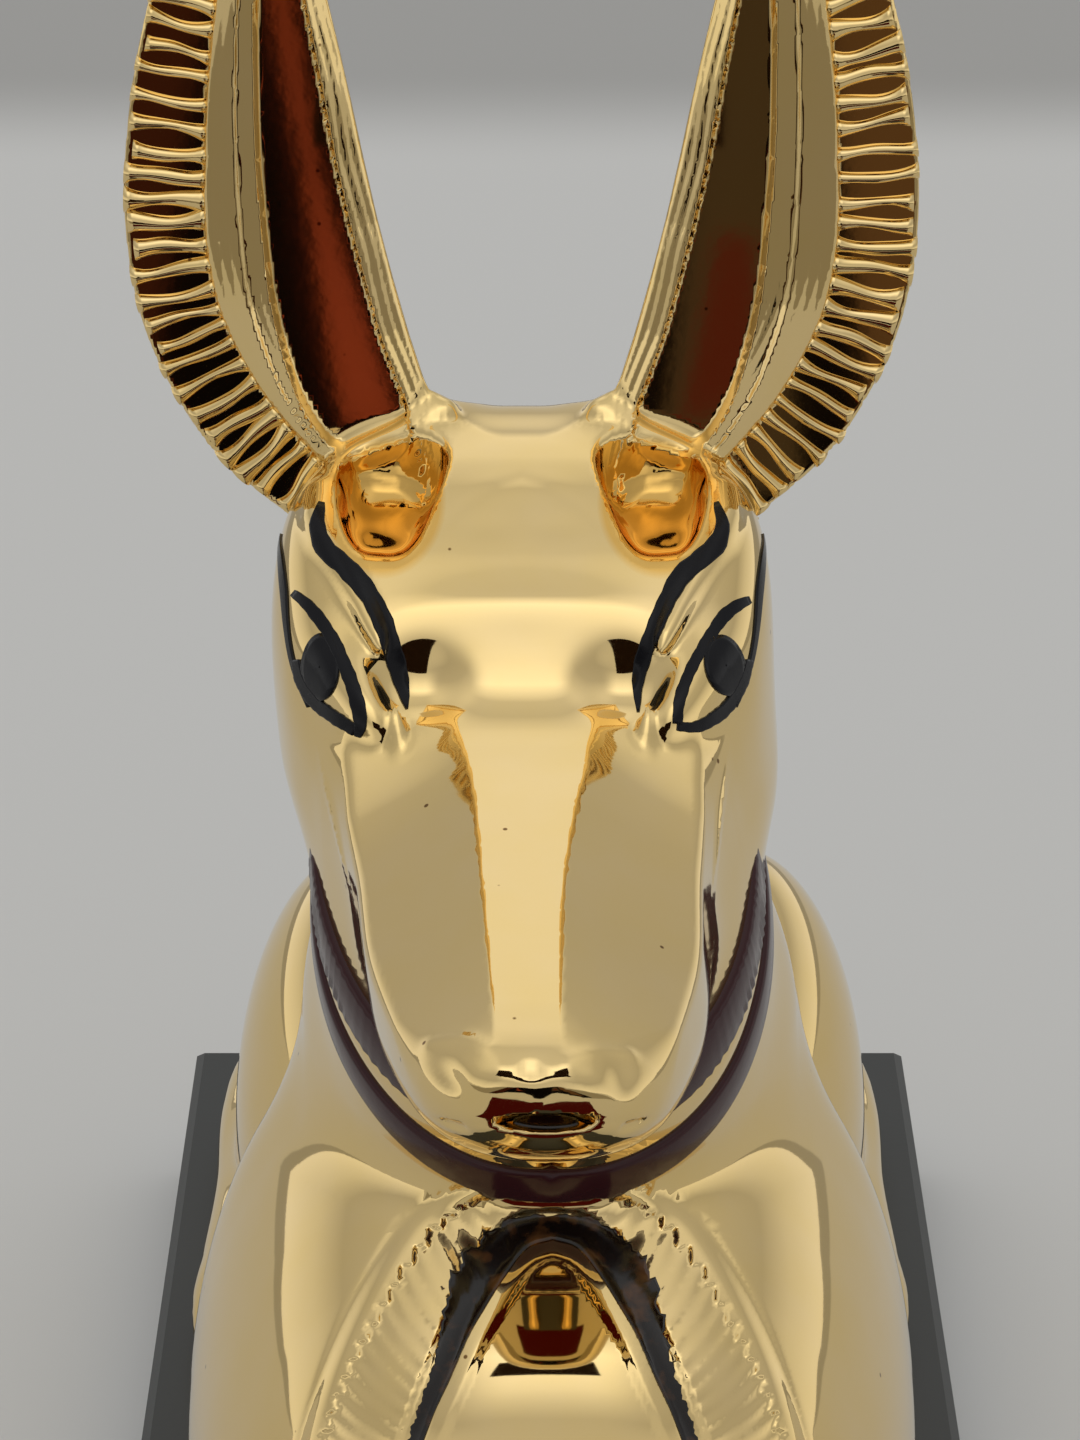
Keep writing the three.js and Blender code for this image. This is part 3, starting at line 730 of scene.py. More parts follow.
# meshing: grids refined only near the surface, then every point pulled onto the field
def fieldMesh(field, low, high, step, levels=3):
    coarse = step * 2 ** levels
    low, high = np.array(low, float), np.array(high, float)
    shape = np.ceil((high - low) / coarse).astype(int) + 1
    axes = [low[k] + coarse * np.arange(shape[k]) for k in range(3)]
    grid = np.meshgrid(*axes, indexing="ij")
    values = field(*[g.ravel() for g in grid]).reshape(shape)
    size = coarse
    for _ in range(levels):
        reach = size * 1.9
        size /= 2
        values = values.repeat(2, 0).repeat(2, 1).repeat(2, 2)[:-1, :-1, :-1]
        near = np.nonzero(np.abs(values) < reach)
        points = [low[k] + size * near[k] for k in range(3)]
        values[near] = field(*points)
    return surfaceNet(values, low, step)


def surfaceNet(values, low, step):
    inside = values < 0
    count = sum(inside[i:inside.shape[0] - 1 + i, j:inside.shape[1] - 1 + j,
                       k:inside.shape[2] - 1 + k].astype(np.int8)
                for i in (0, 1) for j in (0, 1) for k in (0, 1))
    cells = np.stack(np.nonzero((count > 0) & (count < 8)), 1)
    number = np.full(count.shape, -1, np.int32)
    number[tuple(cells.T)] = np.arange(len(cells))
    total = np.zeros((len(cells), 3))
    hits = np.zeros(len(cells))
    corners = [(i, j, k) for i in (0, 1) for j in (0, 1) for k in (0, 1)]
    at = {c: values[cells[:, 0] + c[0], cells[:, 1] + c[1], cells[:, 2] + c[2]] for c in corners}
    for a in corners:
        for axis in range(3):
            if a[axis]:
                continue
            b = tuple(1 if k == axis else a[k] for k in range(3))
            cross = (at[a] < 0) != (at[b] < 0)
            share = np.where(cross, at[a] / np.where(cross, at[a] - at[b], 1), 0)
            point = np.zeros((len(cells), 3)) + a
            point[:, axis] += share
            total += point * cross[:, None]
            hits += cross
    points = low + step * (cells + total / hits[:, None])
    faces = []
    for axis in range(3):
        one, two = [k for k in range(3) if k != axis]
        upper = [slice(None)] * 3
        lower = [slice(None)] * 3
        upper[axis], lower[axis] = slice(1, None), slice(None, -1)
        change = inside[tuple(lower)] != inside[tuple(upper)]
        where = np.stack(np.nonzero(change), 1)
        ok = (where[:, one] > 0) & (where[:, two] > 0)
        ok &= (where[:, one] < number.shape[one]) & (where[:, two] < number.shape[two])
        where = where[ok]
        quad = []
        for da, db in ((-1, -1), (0, -1), (0, 0), (-1, 0)):
            c = where.copy()
            c[:, one] += da
            c[:, two] += db
            quad.append(number[tuple(c.T)])
        quad = np.stack(quad, 1)
        outward = inside[tuple(where.T)]
        flip = outward if axis != 1 else ~outward
        quad[~flip] = quad[~flip][:, ::-1]
        faces.append(quad)
    return points, np.concatenate(faces)


def gradient(field, points, h=0.05):
    out = np.empty_like(points)
    for k in range(3):
        step = np.zeros(3)
        step[k] = h
        out[:, k] = (field(*(points + step).T) - field(*(points - step).T)) / (2 * h)
    return out


def settle(field, points, rounds=2, limit=0.4):
    for _ in range(rounds):
        g = gradient(field, points)
        move = field(*points.T)[:, None] * g / np.maximum((g ** 2).sum(1), 0.05)[:, None]
        size = np.linalg.norm(move, axis=1)[:, None]
        points = points - move * np.minimum(1, limit / np.maximum(size, 1e-9))
    return points


def unit(v):
    return v / np.maximum(np.linalg.norm(v, axis=1), 1e-9)[:, None]


def meshObject(name, points, faces, slot, material, normals=None):
    mesh = bpy.data.meshes.new(name)
    points = (np.asarray(points) + (0, 0, figureFoot)) / 1000
    mesh.vertices.add(len(points))
    mesh.vertices.foreach_set("co", points.ravel())
    faces = np.asarray(faces)
    mesh.loops.add(faces.size)
    mesh.loops.foreach_set("vertex_index", faces.ravel())
    mesh.polygons.add(len(faces))
    mesh.polygons.foreach_set("loop_start", np.arange(0, faces.size, faces.shape[1]))
    mesh.update(calc_edges=True)
    mesh.validate()
    mesh.polygons.foreach_set("use_smooth", np.ones(len(mesh.polygons), bool))
    if normals is not None:
        mesh.normals_split_custom_set_from_vertices(normals)
    mesh.materials.append(material)
    obj = bpy.data.objects.new(name, mesh)
    bpy.context.scene.collection.objects.link(obj)
    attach(obj, "root")
    report(f"{name}: {len(faces)} quads")
    return obj


def castPiece(name, field, low, high, step, material):
    points, faces = fieldMesh(field, low, high, step * coarser)
    points = settle(field, points)
    normals = unit(gradient(castField, points))
    return meshObject(name, points, faces, "gold", material, normals)


# finishes
def newMaterial(name, colour, metallic, roughness):
    mat = bpy.data.materials.new(name)
    mat.use_nodes = True
    shader = mat.node_tree.nodes["Principled BSDF"]
    shader.inputs["Base Color"].default_value = (*colour, 1)
    shader.inputs["Metallic"].default_value = metallic
    shader.inputs["Roughness"].default_value = roughness
    return mat, mat.node_tree, shader


def addNode(tree, kind, values=(), **settings):
    # a node with its settings, and values for some of its sockets
    node = tree.nodes.new("ShaderNode" + kind)
    for setting, value in settings.items():
        setattr(node, setting, value)
    for socket, value in dict(values).items():
        node.inputs[socket].default_value = value
    return node


def addMix(tree, values=()):
    # colour mix: socket 0 is the share, 6 and 7 are the two colours, output 2 is the result
    return addNode(tree, "Mix", values, data_type="RGBA")


def link(tree, *pairs):
    for output, socket in pairs:
        tree.links.new(output, socket)


def addBump(tree, shader, scale, detail, height):
    place = addNode(tree, "TexCoord")
    noise = addNode(tree, "TexNoise", {"Scale": scale, "Detail": detail})
    bump = addNode(tree, "Bump", {"Strength": 1.0, "Distance": height})
    link(tree, (place.outputs["Object"], noise.inputs["Vector"]),
         (noise.outputs["Fac"], bump.inputs["Height"]),
         (bump.outputs["Normal"], shader.inputs["Normal"]))
    return place, noise


gilding = {
    "colour": (0.86, 0.64, 0.28),
    "deeper": (0.86, 0.63, 0.25, 1),
    "paler": (0.87, 0.66, 0.34, 1),
    "pinhole": (0.22, 0.12, 0.04, 1),
    "roughness": 0.045,
    # pocket: painted shade and reflection, a deeper orange gold in the hollow before each ear
    "pocket": {"middle": (14.0, 10.0, 131.2), "radii": (6.6, 11.4, 7.2),
               "colour": (0.83, 0.51, 0.14, 1)},
}


def paintedPocketShade(tree, place, colour, side):
    # painted shade and reflection: the gold turns a deeper orange inside the pocket before each ear,
    # standing in for light bounced round that hollow
    pocket = gilding["pocket"]
    radii = pocket["radii"]
    x, y, z = pocket["middle"]
    middle = (side * x + leanAt(z)[0], y, z + figureFoot)
    middle = [m / r for m, r in zip(middle, radii)]
    scale = addNode(tree, "VectorMath", {1: [1000 / r for r in radii]}, operation="MULTIPLY")
    away = addNode(tree, "VectorMath", {1: middle}, operation="DISTANCE")
    share = addNode(tree, "MapRange", {"From Min": 1.03, "From Max": 0.93})
    mix = addMix(tree, {7: pocket["colour"]})
    link(tree, (place.outputs["Object"], scale.inputs[0]),
         (scale.outputs[0], away.inputs[0]),
         (away.outputs["Value"], share.inputs["Value"]),
         (share.outputs["Result"], mix.inputs[0]),
         (colour, mix.inputs[6]))
    return mix.outputs[2]


def goldFinish():
    mat, tree, shader = newMaterial("polishedGold", gilding["colour"], 1, gilding["roughness"])
    place, _ = addBump(tree, shader, 650, 2, 0.0000015)
    mottle = addNode(tree, "TexNoise", {"Scale": 110, "Detail": 4})
    tint = addMix(tree, {6: gilding["deeper"], 7: gilding["paler"]})
    # a few pinholes where the gilding didn't take
    cells = addNode(tree, "TexVoronoi", {"Scale": 150})
    hole = addNode(tree, "MapRange", {"From Min": 0.030, "From Max": 0.045})
    speck = addMix(tree, {6: gilding["pinhole"]})
    link(tree, (place.outputs["Object"], mottle.inputs["Vector"]),
         (place.outputs["Object"], cells.inputs["Vector"]),
         (mottle.outputs["Fac"], tint.inputs[0]),
         (cells.outputs["Distance"], hole.inputs["Value"]),
         (hole.outputs["Result"], speck.inputs[0]),
         (tint.outputs[2], speck.inputs[7]))
    colour = speck.outputs[2]
    # painted shade and reflection in both ear pockets
    for side in (-1, 1):
        colour = paintedPocketShade(tree, place, colour, side)
    link(tree, (colour, shader.inputs["Base Color"]))
    return mat


def enamelFinish():
    mat, tree, shader = newMaterial("blackEnamel", (0.006, 0.006, 0.008), 0, 0.2)
    shader.inputs["Specular IOR Level"].default_value = 0.18
    addBump(tree, shader, 900, 2, 0.00002)
    return mat


def collarFinish():
    mat, tree, shader = newMaterial("darkRedGlaze", (0.036, 0.008, 0.010), 0, 0.2)
    shader.inputs["Specular IOR Level"].default_value = 0.28
    addBump(tree, shader, 500, 2, 0.00003)
    return mat


def paintedShadeFinish():
    # painted shade and reflection: near black, browner in patches
    mat, tree, shader = newMaterial("paintedShadeGlaze", (0.012, 0.006, 0.004), 0, 0.16)
    _, noise = addBump(tree, shader, 260, 3, 0.00005)
    patches = addNode(tree, "MapRange", {"From Min": 0.52, "From Max": 0.68})
    mix = addMix(tree, {6: (0.008, 0.005, 0.004, 1), 7: (0.10, 0.040, 0.012, 1)})
    link(tree, (noise.outputs["Fac"], patches.inputs["Value"]),
         (patches.outputs["Result"], mix.inputs[0]),
         (mix.outputs[2], shader.inputs["Base Color"]))
    return mat


def plinthFinish():
    mat, tree, shader = newMaterial("satinBlack", (0.014, 0.016, 0.015), 0, 0.42)
    addBump(tree, shader, 900, 2, 0.00001)
    return mat


gold = goldFinish()
enamel = enamelFinish()
collarRed = collarFinish()
plinthBlack = plinthFinish()
paintedShade = paintedShadeFinish()

castPieces = [  # name, share of the field, box in mm, mesh step
    ("jackal_body", bodyShare, (-50, -124, -3), (50, 124, 118), 1.2),
    ("jackal_chest", chestShare, (-46, -56, 20), (46, -18, 80), 0.5),
    ("jackal_head", headShare, (-48, -76, 60), (44, 46, 143), 0.5),
    ("jackal_ear_left", earShare, (-48, 10, 137), (-6, 46, 216), 0.33),
    ("jackal_ear_right", earShare, (2, 10, 137), (44, 46, 216), 0.33),
]
for name, share, low, high, step in castPieces:
    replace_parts(castPiece(name, share, low, high, step, gold), "jackal")


# ribs that cross the carved band of each ear, no two quite alike
ribs = {
    "profile": ((-1.5, 1.8), (-1.25, 0.8), (-0.9, 0.3), (-0.35, 0.04), (0.35, 0.0), (0.9, 0.27),
                (1.25, 0.75), (1.5, 1.8)),  # across, in thicknesses, and down, in pit depths
    "first": 23.0,  # mm along the ear's outer edge
    "last": 3.0,  # mm short of the tip
    "stations": 13,
    "thick": 0.58,
    "uneven": 0.12,
    "tilt": 0.25,
    "sway": 0.2,
}
edgeRuns = np.r_[0, np.cumsum(np.linalg.norm(np.diff(outerEdge, axis=0), axis=1))]


def onOuterEdge(run):
    return np.array([np.interp(run, edgeRuns, outerEdge[:, k]) for k in (0, 1)])


def ribPoints(n, side, run):
    # sections of one rib, from the rim inwards
    run = run + 0.25 * math.sin(7.3 * n + side) + 0.15 * math.sin(3.1 * n)
    foot = onOuterEdge(run)
    ahead = onOuterEdge(run + 1) - foot
    ahead /= np.linalg.norm(ahead)
    inward = np.array([-ahead[1], ahead[0]])
    e, _, en, _, _ = earBands(*(foot + 4 * inward)[:, None])
    scale = float(e[0] / en[0])
    start, end = (ear["rim"] + 0.1) * scale, (ear["ribEnd"] + 0.3) * scale
    start += (end - start) * max(0, 0.10 * math.sin(4.7 * n + side))
    thick = (ribs["thick"] + ribs["uneven"] * math.sin(5.7 * n + 2 * side)) * (0.6 + 0.4 * scale)
    tilt = ribs["tilt"] * math.sin(3.9 * n + side)
    points = []
    for t in np.linspace(0, 1, ribs["stations"]):
        sway = ribs["sway"] * math.sin(5.2 * t + 2.3 * n + side) + tilt * (t - 0.5)
        centre = foot + inward * (start + (end - start) * t) + ahead * sway
        front = earFront(centre[1])
        dip = 0.14 * math.sin(math.pi * t) + 0.16 + 0.12 * math.sin(3.9 * n + 4 * t)
        wide = thick * (1 + 0.55 * (2 * t - 1) ** 4 + 0.12 * math.sin(7 * t + 1.7 * n))
        for across, deep in ribs["profile"]:
            x, z = centre + ahead * across * wide
            points.append((side * x + leaning(front, z), front + dip + deep * ear["ribDepth"], z))
    return points


def ribFaces(base, side):
    # quads round the rib from section to section, and over both ends
    section, last = len(ribs["profile"]), ribs["stations"] - 1
    faces = []
    for k in range(last):
        for m in range(section):
            a, b = base + k * section + m, base + k * section + (m + 1) % section
            quad = (a, b, b + section, a + section)
            faces.append(quad if side < 0 else quad[::-1])
    for k, order in ((0, side), (last, -side)):
        ring = [base + k * section + m for m in range(section)][::order]
        for m in range(3):
            faces.append((ring[m], ring[m + 1], ring[6 - m], ring[7 - m]))
    return faces


def earRibs():
    points, faces = [], []
    runs = np.arange(ribs["first"], edgeRuns[-1] - ribs["last"], ear["ribPitch"])
    for side in (-1, 1):
        for n, run in enumerate(runs, 1):
            faces += ribFaces(len(points), side)
            points += ribPoints(n, side, run)
    return meshObject("jackal_ear_fins", points, faces, "gold", gold)


earRibs()


# collar: closed bands laid round the neck
collar = {
    "bands": [  # name, lower and upper edge along the neck's axis, stand-out, slot
        ("collar_lower", -0.6, 4.6, 1.0, "collar_red"),
        ("collar_gilt", 4.3, 8.8, 0.5, "gold"),
        ("collar_upper", 8.6, 15.4, 0.85, "collar_red"),
    ],
    "edge": 0.35,  # step of the rounded edges
    "foot": -1.2,  # how deep the bands run into the neck
    "stations": 240,
    "pleats": 110,
    "pleatDepth": 0.10,
}


def neckRay(angle, up):
    # straight out from the neck's axis: start point and unit direction
    tilt = math.cos(neckSlant), math.sin(neckSlant)
    middleY, middleZ = body["neckMiddle"]
    start = np.array([0, middleY - up * tilt[1], middleZ + up * tilt[0]])
    way = np.array([math.cos(angle), math.sin(angle) * tilt[0], math.sin(angle) * tilt[1]])
    return start, way


def neckReach(angles, ups):
    # how far out the casting's surface is along each ray, head left out
    rays = [neckRay(a, u) for a, u in zip(angles, ups)]
    starts, ways = np.array([r[0] for r in rays]), np.array([r[1] for r in rays])
    a, front, rear = neckAt(np.array(ups))
    c, s = np.abs(np.cos(angles)), np.abs(np.sin(angles))
    b = np.where(np.sin(angles) > 0, rear, front)
    n = body["neckSquareness"]
    base = 1 / ((c / a) ** n + (s / b) ** n) ** (1 / n)
    reach = base.copy()
    for _ in range(14):
        reach = reach - bodyField(*(starts + ways * reach[:, None]).T)
    reach = np.where(np.array(ups) < 8, np.clip(reach, base - 0.2, base + 6), base)
    return starts, ways, reach


def collarBand(name, low, high, proud, slot, material):
    edge = collar["edge"]
    rising = [(0, collar["foot"]), (0, proud - 0.35), (edge, proud - 0.08), (2 * edge, proud)]
    profile = [(low + up, out) for up, out in rising]
    profile += [(high - up, out) for up, out in rising[::-1]]
    count, faces = collar["stations"], []
    m = len(profile)
    angles = np.repeat(2 * math.pi * np.arange(count) / count, m)
    ups = np.tile([u for u, _ in profile], count)
    outs = np.tile([o for _, o in profile], count)
    if name == "collar_upper":
        pleats = collar["pleatDepth"] * np.cos(angles * collar["pleats"])
        outs = outs + np.where(outs > 0, pleats, 0)
    starts, ways, reach = neckReach(angles, ups)
    points = starts + ways * (reach + outs)[:, None]
    points[:, 0] += leaning(points[:, 1], points[:, 2])
    for k in range(count):
        for j in range(m):
            a, b = k * m + j, k * m + (j + 1) % m
            c, d = (k + 1) % count * m + j, (k + 1) % count * m + (j + 1) % m
            faces.append((a, c, d, b))
    return meshObject(name, points, faces, slot, material)


for bandName, low, high, proud, bandSlot in collar["bands"]:
    collarBand(bandName, low, high, proud, bandSlot, gold if bandSlot == "gold" else collarRed)


# enamel: thin strips laid on the gold where the photograph has painted lines
paint = {
    "lift": 0.22,
    "sink": 0.5,
    "rayStart": 330.0,  # mm from the camera, short of the gold
    "brows": {  # u, v, width in photo pixels
        "left": [(322, 503, 6), (318, 525, 15), (325, 548, 18), (345, 567, 20), (367, 592, 20),
                 (383, 622, 20), (394, 655, 19), (402, 685, 15), (407, 708, 3)],
        "right": [(716, 503, 5), (722, 525, 13), (716, 545, 18), (700, 560, 19), (681, 576, 19),
                  (668, 598, 18), (656, 624, 16), (645, 652, 16), (638, 682, 12), (638, 711, 3)],
    },
    "upperLids": {
        "left": [(294, 593, 7), (310, 607, 12), (331, 636, 13), (346, 668, 13), (357, 700, 14),
                 (361, 724, 12), (358, 737, 6)],
        "right": [(749, 600, 7), (738, 605, 12), (724, 616, 13), (710, 636, 12), (698, 656, 11),
                  (687, 679, 11), (679, 703, 11), (677, 724, 9)],
    },
    "lowerLids": {
        "left": [(296, 660, 7), (301, 681, 9), (315, 702, 11), (336, 718, 12), (356, 731, 11)],
        "right": [(677, 726, 9), (696, 727, 11), (717, 716, 12), (732, 701, 11), (743, 681, 9),
                  (749, 660, 7)],
    },
    "pupils": {"left": (320.9, 667.5, 18.7, 34, 4), "right": (724.5, 665.7, 19.6, 31, -14)},
    "tails": [(21.6, -6, 116.2), (22.6, -2.5, 118.6), (23.4, 1.6, 121.6), (23.8, 5.0, 124.2),
              (24, 9.0, 125.8), (24, 14, 126.4)],  # outer lid and its tail, mm beside the middle
    "tailWidths": (0.5, 0.8, 1.0, 1.4, 1.2, 0.3),
}


def rayHits(pixels):
    start, ways = pixelRays(pixels)
    reach = np.full(len(ways), paint["rayStart"])
    for _ in range(60):
        points = start + ways * reach[:, None]
        reach += 0.8 * np.clip(castField(*points.T), -3, 6)
    return start + ways * reach[:, None]


def paintedSheet(name, top, normals, rows, closed, material=enamel):
    # top is a grid of points, rows by columns, turned into a thin closed slab
    columns = len(top) // rows
    half = len(top)
    points = np.concatenate([top + normals * paint["lift"], top - normals * paint["sink"]])
    faces = []
    for r in range(rows - 1):
        for c in range(columns if closed else columns - 1):
            a, b = r * columns + c, r * columns + (c + 1) % columns
            quad = (a, b, b + columns, a + columns)
            faces += [quad, tuple(v + half for v in quad[::-1])]
    if closed:
        rim = [(rows - 1, c) for c in range(columns)]
    else:
        rim = [(0, c) for c in range(columns)] + [(r, columns - 1) for r in range(1, rows)]
        rim += [(rows - 1, c) for c in range(columns - 2, -1, -1)]
        rim += [(r, 0) for r in range(rows - 2, 0, -1)]
    loop = [r * columns + c for r, c in rim]
    for a, b in zip(loop, loop[1:] + loop[:1]):
        faces.append((a, b, b + half, a + half) if closed else (b, a, a + half, b + half))
    return meshObject(name, points, faces, "black_enamel", material)


acrossStroke = np.array([-1, -0.82, -0.5, -0.17, 0.17, 0.5, 0.82, 1])


def strokeFromPixels(name, rows):
    count = 40
    path = smoothPath(rows, count)
    along = unit(np.gradient(path[:, :2], axis=0))
    side = np.stack([-along[:, 1], along[:, 0]], 1)
    n = np.arange(count)
    wide = path[:, 2] / 2 * (1 + 0.05 * np.sin(1.9 * n) + 0.04 * np.sin(0.83 * n + 1))
    reach = acrossStroke[None, :, None] * wide[:, None, None]
    pixels = path[:, None, :2] + side[:, None, :] * reach
    hits = rayHits(pixels.reshape(-1, 2))
    paintedSheet(name, hits, unit(gradient(castField, hits)), count, False)


def strokeFromPlaces(name, places, widths, side):
    count = 36
    path = smoothPath([(*p, w) for p, w in zip(places, widths)], count)
    centre = path[:, :3].copy()
    centre[:, 0] = side * centre[:, 0] + leaning(centre[:, 1], centre[:, 2])
    centre = settle(castField, centre, 6, 1.0)
    normals = unit(gradient(castField, centre))
    along = unit(np.gradient(centre, axis=0))
    across = unit(np.cross(normals, along))
    reach = acrossStroke[None, :, None] * path[:, 3][:, None, None] / 2
    grid = centre[:, None, :] + across[:, None, :] * reach
    grid = settle(castField, grid.reshape(-1, 3), 4)
    paintedSheet(name, grid, unit(gradient(castField, grid)), count, False)


def pupilDisc(name, u, v, halfU, halfV, tilt, material=enamel):
    rings, spokes = 6, 32
    t = np.linspace(0, 2 * math.pi, spokes, endpoint=False)
    turnBy = math.radians(tilt)
    pixels = []
    for r in range(rings):
        share = 0.03 + 0.97 * r / (rings - 1)
        du, dv = halfU * share * np.cos(t), halfV * share * np.sin(t)
        pixels.append(np.stack([u + du * math.cos(turnBy) - dv * math.sin(turnBy),
                                v + du * math.sin(turnBy) + dv * math.cos(turnBy)], 1))
    hits = rayHits(np.concatenate(pixels))
    normals = unit(gradient(castField, hits))
    paintedSheet(name, hits, normals, rings, True, material)


# painted shade in the ruff's groove: its path, and its width along the path
groove = {
    "rows": [(0, 65.4), (2.6, 64.9), (5, 63.4), (6.9, 61.7), (8.6, 59.8), (10.4, 56.8), (12.2, 53.5),
             (14.2, 48), (15.4, 41), (14.8, 35)],
    "width": [(0, 1.9), (5, 2.9), (9, 3.7), (13, 2.6), (18, 1.6), (30, 1.3), (48, 0.9), (60, 0.3)],
    "stations": 150,
}


def grooveShadeStrip():
    # painted shade and reflection: a dark strip along the groove, its outer edge ragged where the
    # flutes begin
    half = smoothPath([(x, z * ruff["slope"]) for x, z in groove["rows"]], groove["stations"])
    runs = np.r_[0, np.cumsum(np.linalg.norm(np.diff(half, axis=0), axis=1))]
    path = np.concatenate([half[::-1] * (-1, 1), half[1:]])
    run = np.r_[-runs[::-1], runs[1:]]
    along = unit(np.gradient(path, axis=0))
    outward = np.stack([-along[:, 1], along[:, 0]], 1)
    wide = curveThrough(groove["width"])(np.abs(run))[0]
    teeth = 0.5 + 0.5 * np.abs(np.sin(math.pi * run / ruff["pitch"] + 0.4 * np.sin(run / 3)))
    ragged = wide * (0.72 + 0.28 * teeth + 0.06 * np.sin(3.1 * run) + 0.05 * np.sin(7.7 * run))
    shares = np.array([0, 0.2, 0.45, 0.7, 0.9, 1.0])
    flat = path[:, None, :] + outward[:, None, :] * (shares[None, :, None] * ragged[:, None, None])
    x, z = flat[..., 0].ravel(), flat[..., 1].ravel() / ruff["slope"]
    y = np.full(len(x), -56.0)
    for _ in range(60):
        y = y + 0.7 * np.clip(castField(x, y, z), -3, 4)
    points = np.stack([x, y, z], 1)
    normals = unit(gradient(castField, points))
    paintedSheet("ruff_painted_shade", points, normals, len(path), False, paintedShade)


grooveShadeStrip()
for sideName, side in (("left", -1), ("right", 1)):
    strokeFromPixels(f"brow_{sideName}", paint["brows"][sideName])
    strokeFromPixels(f"upper_lid_{sideName}", paint["upperLids"][sideName])
    strokeFromPixels(f"lower_lid_{sideName}", paint["lowerLids"][sideName])
    strokeFromPlaces(f"eye_tail_{sideName}", paint["tails"], paint["tailWidths"], side)
    pupilDisc(f"pupil_{sideName}", *paint["pupils"][sideName])

# painted shade: a dark lens on the slit's floor, standing in for the shadow inside the mouth
pupilDisc("mouth_painted_shade", *mouth["shadeLens"], paintedShade)

for piece in bpy.context.scene.objects:  # the plinth keeps its solid, in its own finish
    if piece.name.startswith("plinth"):
        for place in piece.material_slots:
            place.material = plinthBlack

# stage: pale floor that turns greyer far behind, as the photograph's does
stage = {
    "floorColour": (0.665, 0.662, 0.652),
    "farShadeColour": (0.41, 0.405, 0.395),
    "farFrom": (0.60, 0.68),  # metres behind the figure
    "floorReach": 3,
    "cards": [  # name, height, corners seen from above, colour; metres
        ("darkFront", 0.002, [(-0.20, -2.60), (0.20, -2.60), (0.20, -0.40), (-0.20, -0.40)],
         (0.004, 0.003, 0.003)),
        ("greyLeft", 0.002, [(-1.30, -1.80), (-0.20, -1.80), (-0.20, -0.40), (-1.30, -0.40)],
         (0.36, 0.34, 0.30)),
        ("greyRight", 0.002, [(0.20, -1.80), (1.30, -1.80), (1.30, -0.40), (0.20, -0.40)],
         (0.36, 0.34, 0.30)),
        ("redLeft", 0.004,
         [(-0.048, -0.545), (-0.034, -0.545), (-0.041, -0.605), (-0.050, -0.680),
          (-0.060, -0.780), (-0.0755, -0.970), (-0.087, -1.100), (-0.123, -1.600),
          (-0.188, -2.400), (-0.198, -2.400), (-0.131, -1.600), (-0.094, -1.100),
          (-0.082, -0.970), (-0.0645, -0.780), (-0.057, -0.680), (-0.052, -0.605)],
         (0.30, 0.056, 0.030)),
        ("brownLeftEdge", 0.003,
         [(-0.180, -0.42), (-0.090, -0.42), (-0.150, -1.60), (-0.300, -1.60)],
         (0.05, 0.014, 0.008)),
        ("oliveRight", 0.003,
         [(0.026, -0.50), (0.060, -0.50), (0.066, -0.80), (0.112, -1.35), (0.200, -2.40),
          (0.140, -2.40), (0.072, -1.35), (0.037, -0.78)], (0.075, 0.052, 0.032)),
        ("redRight", 0.004, [(0.032, -0.55), (0.050, -0.55), (0.052, -0.70), (0.042, -0.70)],
         (0.11, 0.020, 0.012)),
        ("brownRightEdge", 0.003,
         [(0.075, -0.45), (0.150, -0.45), (0.260, -1.60), (0.125, -1.60)], (0.13, 0.070, 0.035)),
        ("redNear", 0.003, [(-0.110, -0.300), (0.110, -0.300), (0.090, -0.135), (-0.090, -0.135)],
         (0.07, 0.006, 0.005)),
    ],
    # an upright card close before the head, mirrored in the dents beside the brows
    "nearDents": {"sides": (-0.0305, 0.022), "y": -0.10, "heights": (0.160, 0.192),
                  "colour": (0.020, 0.010, 0.006)},
}


def stagePiece(name, corners, material):
    mesh = bpy.data.meshes.new(name)
    mesh.from_pydata(corners, [], [tuple(range(len(corners)))])
    mesh.materials.append(material)
    obj = bpy.data.objects.new(name, mesh)
    bpy.context.scene.collection.objects.link(obj)
    return obj


def makeFloor():
    mat, tree, shader = newMaterial("paleFloor", stage["floorColour"], 0, 0.7)
    # painted shade: the floor's colour runs to grey far behind the figure, where less light reaches
    # it
    near, far = stage["farFrom"]
    place = addNode(tree, "TexCoord")
    split = addNode(tree, "SeparateXYZ")
    ramp = addNode(tree, "MapRange", {"From Min": near, "From Max": far},
                   interpolation_type="SMOOTHSTEP")
    mix = addMix(tree, {6: (*stage["floorColour"], 1), 7: (*stage["farShadeColour"], 1)})
    link(tree, (place.outputs["Object"], split.inputs[0]),
         (split.outputs["Y"], ramp.inputs["Value"]),
         (ramp.outputs["Result"], mix.inputs[0]),
         (mix.outputs[2], shader.inputs["Base Color"]))
    reach = stage["floorReach"]
    floor = stagePiece("floor", [(-reach, -reach, 0), (reach, -reach, 0), (reach, reach, 0),
                                 (-reach, reach, 0)], mat)


def darkCard(name, corners, colour):
    # seen only in the gold, as the dark things in front of the table are
    mat, _, shader = newMaterial(name, colour, 0, 0.8)
    shader.inputs["Specular IOR Level"].default_value = 0
    card = stagePiece(name, corners, mat)
    card.visible_camera = False
    card.visible_diffuse = False
    card.visible_shadow = False


makeFloor()
for name, height, outline, colour in stage["cards"]:
    darkCard(name, [(x, y, height) for x, y in outline], colour)
near = stage["nearDents"]
(left, right), (under, over) = near["sides"], near["heights"]
darkCard("nearDents", [(left, near["y"], under), (right, near["y"], under),
                       (right, near["y"], over), (left, near["y"], over)], near["colour"])


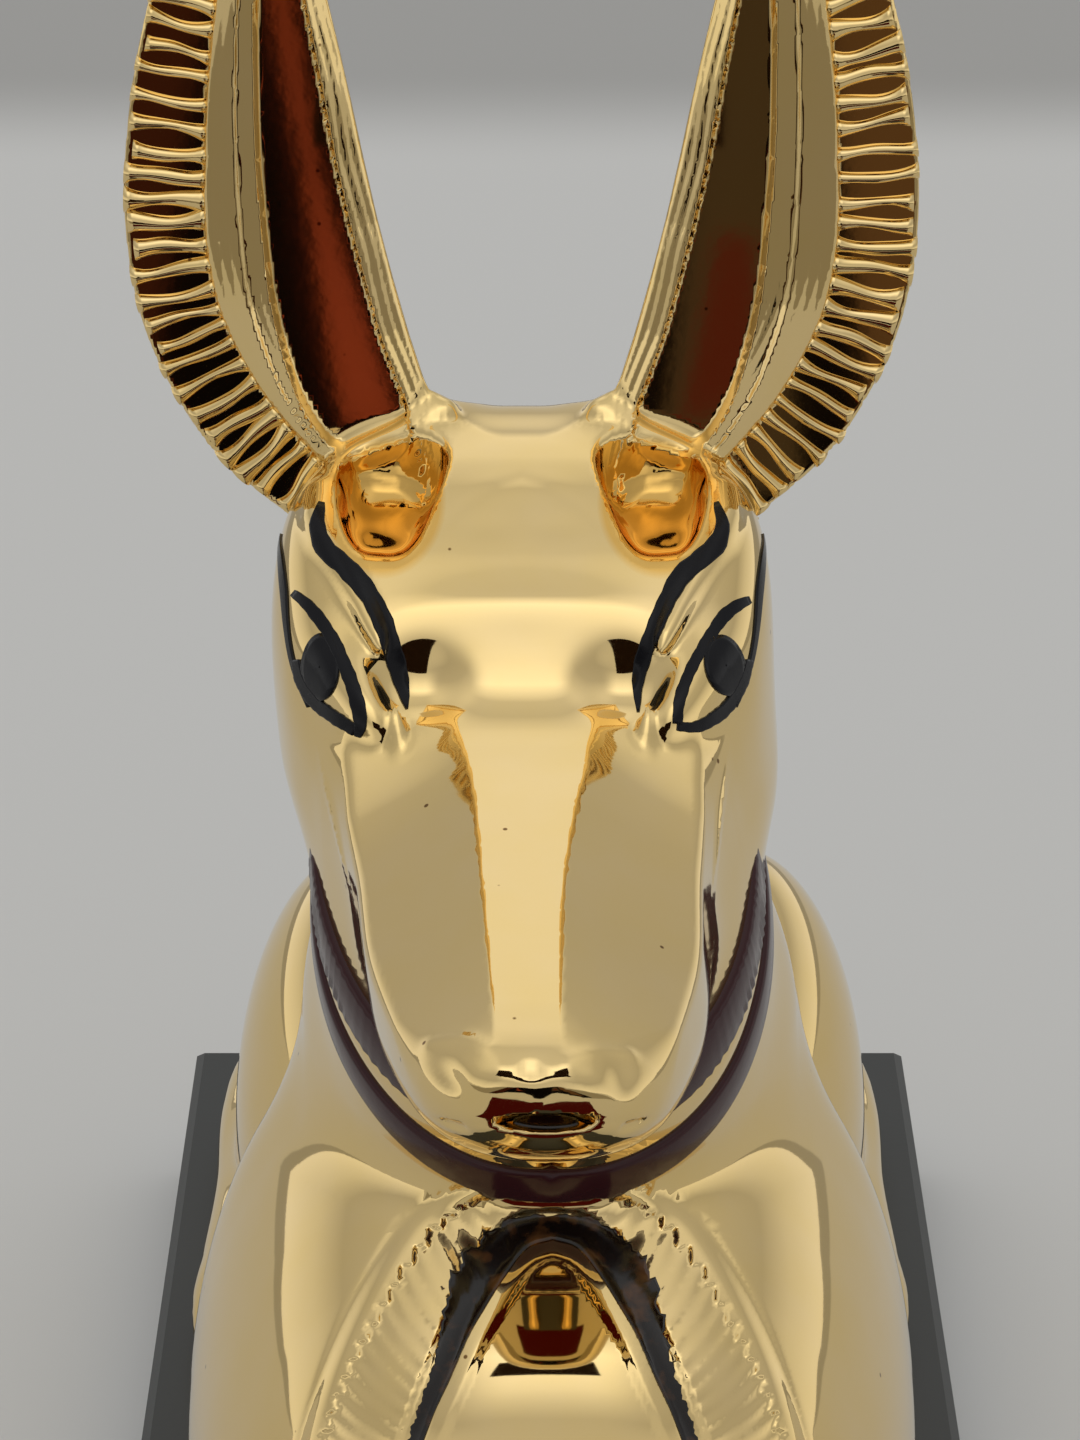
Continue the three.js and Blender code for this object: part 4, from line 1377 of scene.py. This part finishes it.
studio = {  # levels of light; "over" runs from the front horizon, over the top, to the back
    "over": [(0.0, 0.55), (0.14, 0.50), (0.27, 0.95), (0.37, 1.20), (0.47, 0.62), (0.60, 0.56),
             (0.70, 0.80), (0.80, 0.86), (0.87, 0.46), (1.0, 0.50)],
    "sides": [(0.0, 0.75), (0.20, 0.60), (0.38, 0.40), (0.65, 0.46), (1.0, 0.80)],
    "sideFrom": 0.12,
    "sideTo": 0.50,
    "strength": 1.12,
}


def lightRamp(tree, stops):
    ramp = addNode(tree, "ValToRGB")
    ramp.color_ramp.elements[0].position = stops[0][0]
    ramp.color_ramp.elements[1].position = stops[-1][0]
    for position, _ in stops[1:-1]:
        ramp.color_ramp.elements.new(position)
    for element, (_, level) in zip(ramp.color_ramp.elements, stops):
        element.color = (level, level, level * 0.985, 1)
    return ramp


def makeWorld():
    world = bpy.data.worlds.new("softStudio")
    bpy.context.scene.world = world
    world.use_nodes = True
    tree = world.node_tree
    background = tree.nodes["Background"]
    background.inputs["Strength"].default_value = studio["strength"]
    place = addNode(tree, "TexCoord")
    split = addNode(tree, "SeparateXYZ")
    # light met on a turn from the front over the top to the back, then paler sides by height
    front = addNode(tree, "Math", {1: -1}, operation="MULTIPLY")
    turn = addNode(tree, "Math", operation="ARCTAN2")
    share = addNode(tree, "Math", {1: math.pi}, operation="DIVIDE")
    outward = addNode(tree, "Math", operation="ABSOLUTE")
    blend = addNode(tree, "MapRange", {"From Min": studio["sideFrom"],
                                       "From Max": studio["sideTo"]},
                    interpolation_type="SMOOTHSTEP")
    over = lightRamp(tree, studio["over"])
    sides = lightRamp(tree, studio["sides"])
    mix = addMix(tree)
    link(tree, (place.outputs["Generated"], split.inputs[0]),
         (split.outputs["Y"], front.inputs[0]),
         (split.outputs["Z"], turn.inputs[0]),
         (front.outputs[0], turn.inputs[1]),
         (turn.outputs[0], share.inputs[0]),
         (share.outputs[0], over.inputs["Fac"]),
         (split.outputs["Z"], sides.inputs["Fac"]),
         (split.outputs["X"], outward.inputs[0]),
         (outward.outputs[0], blend.inputs["Value"]),
         (blend.outputs["Result"], mix.inputs[0]),
         (over.outputs["Color"], mix.inputs[6]),
         (sides.outputs["Color"], mix.inputs[7]),
         (mix.outputs[2], background.inputs["Color"]))


makeWorld()
bpy.context.scene.view_settings.view_transform = "Standard"
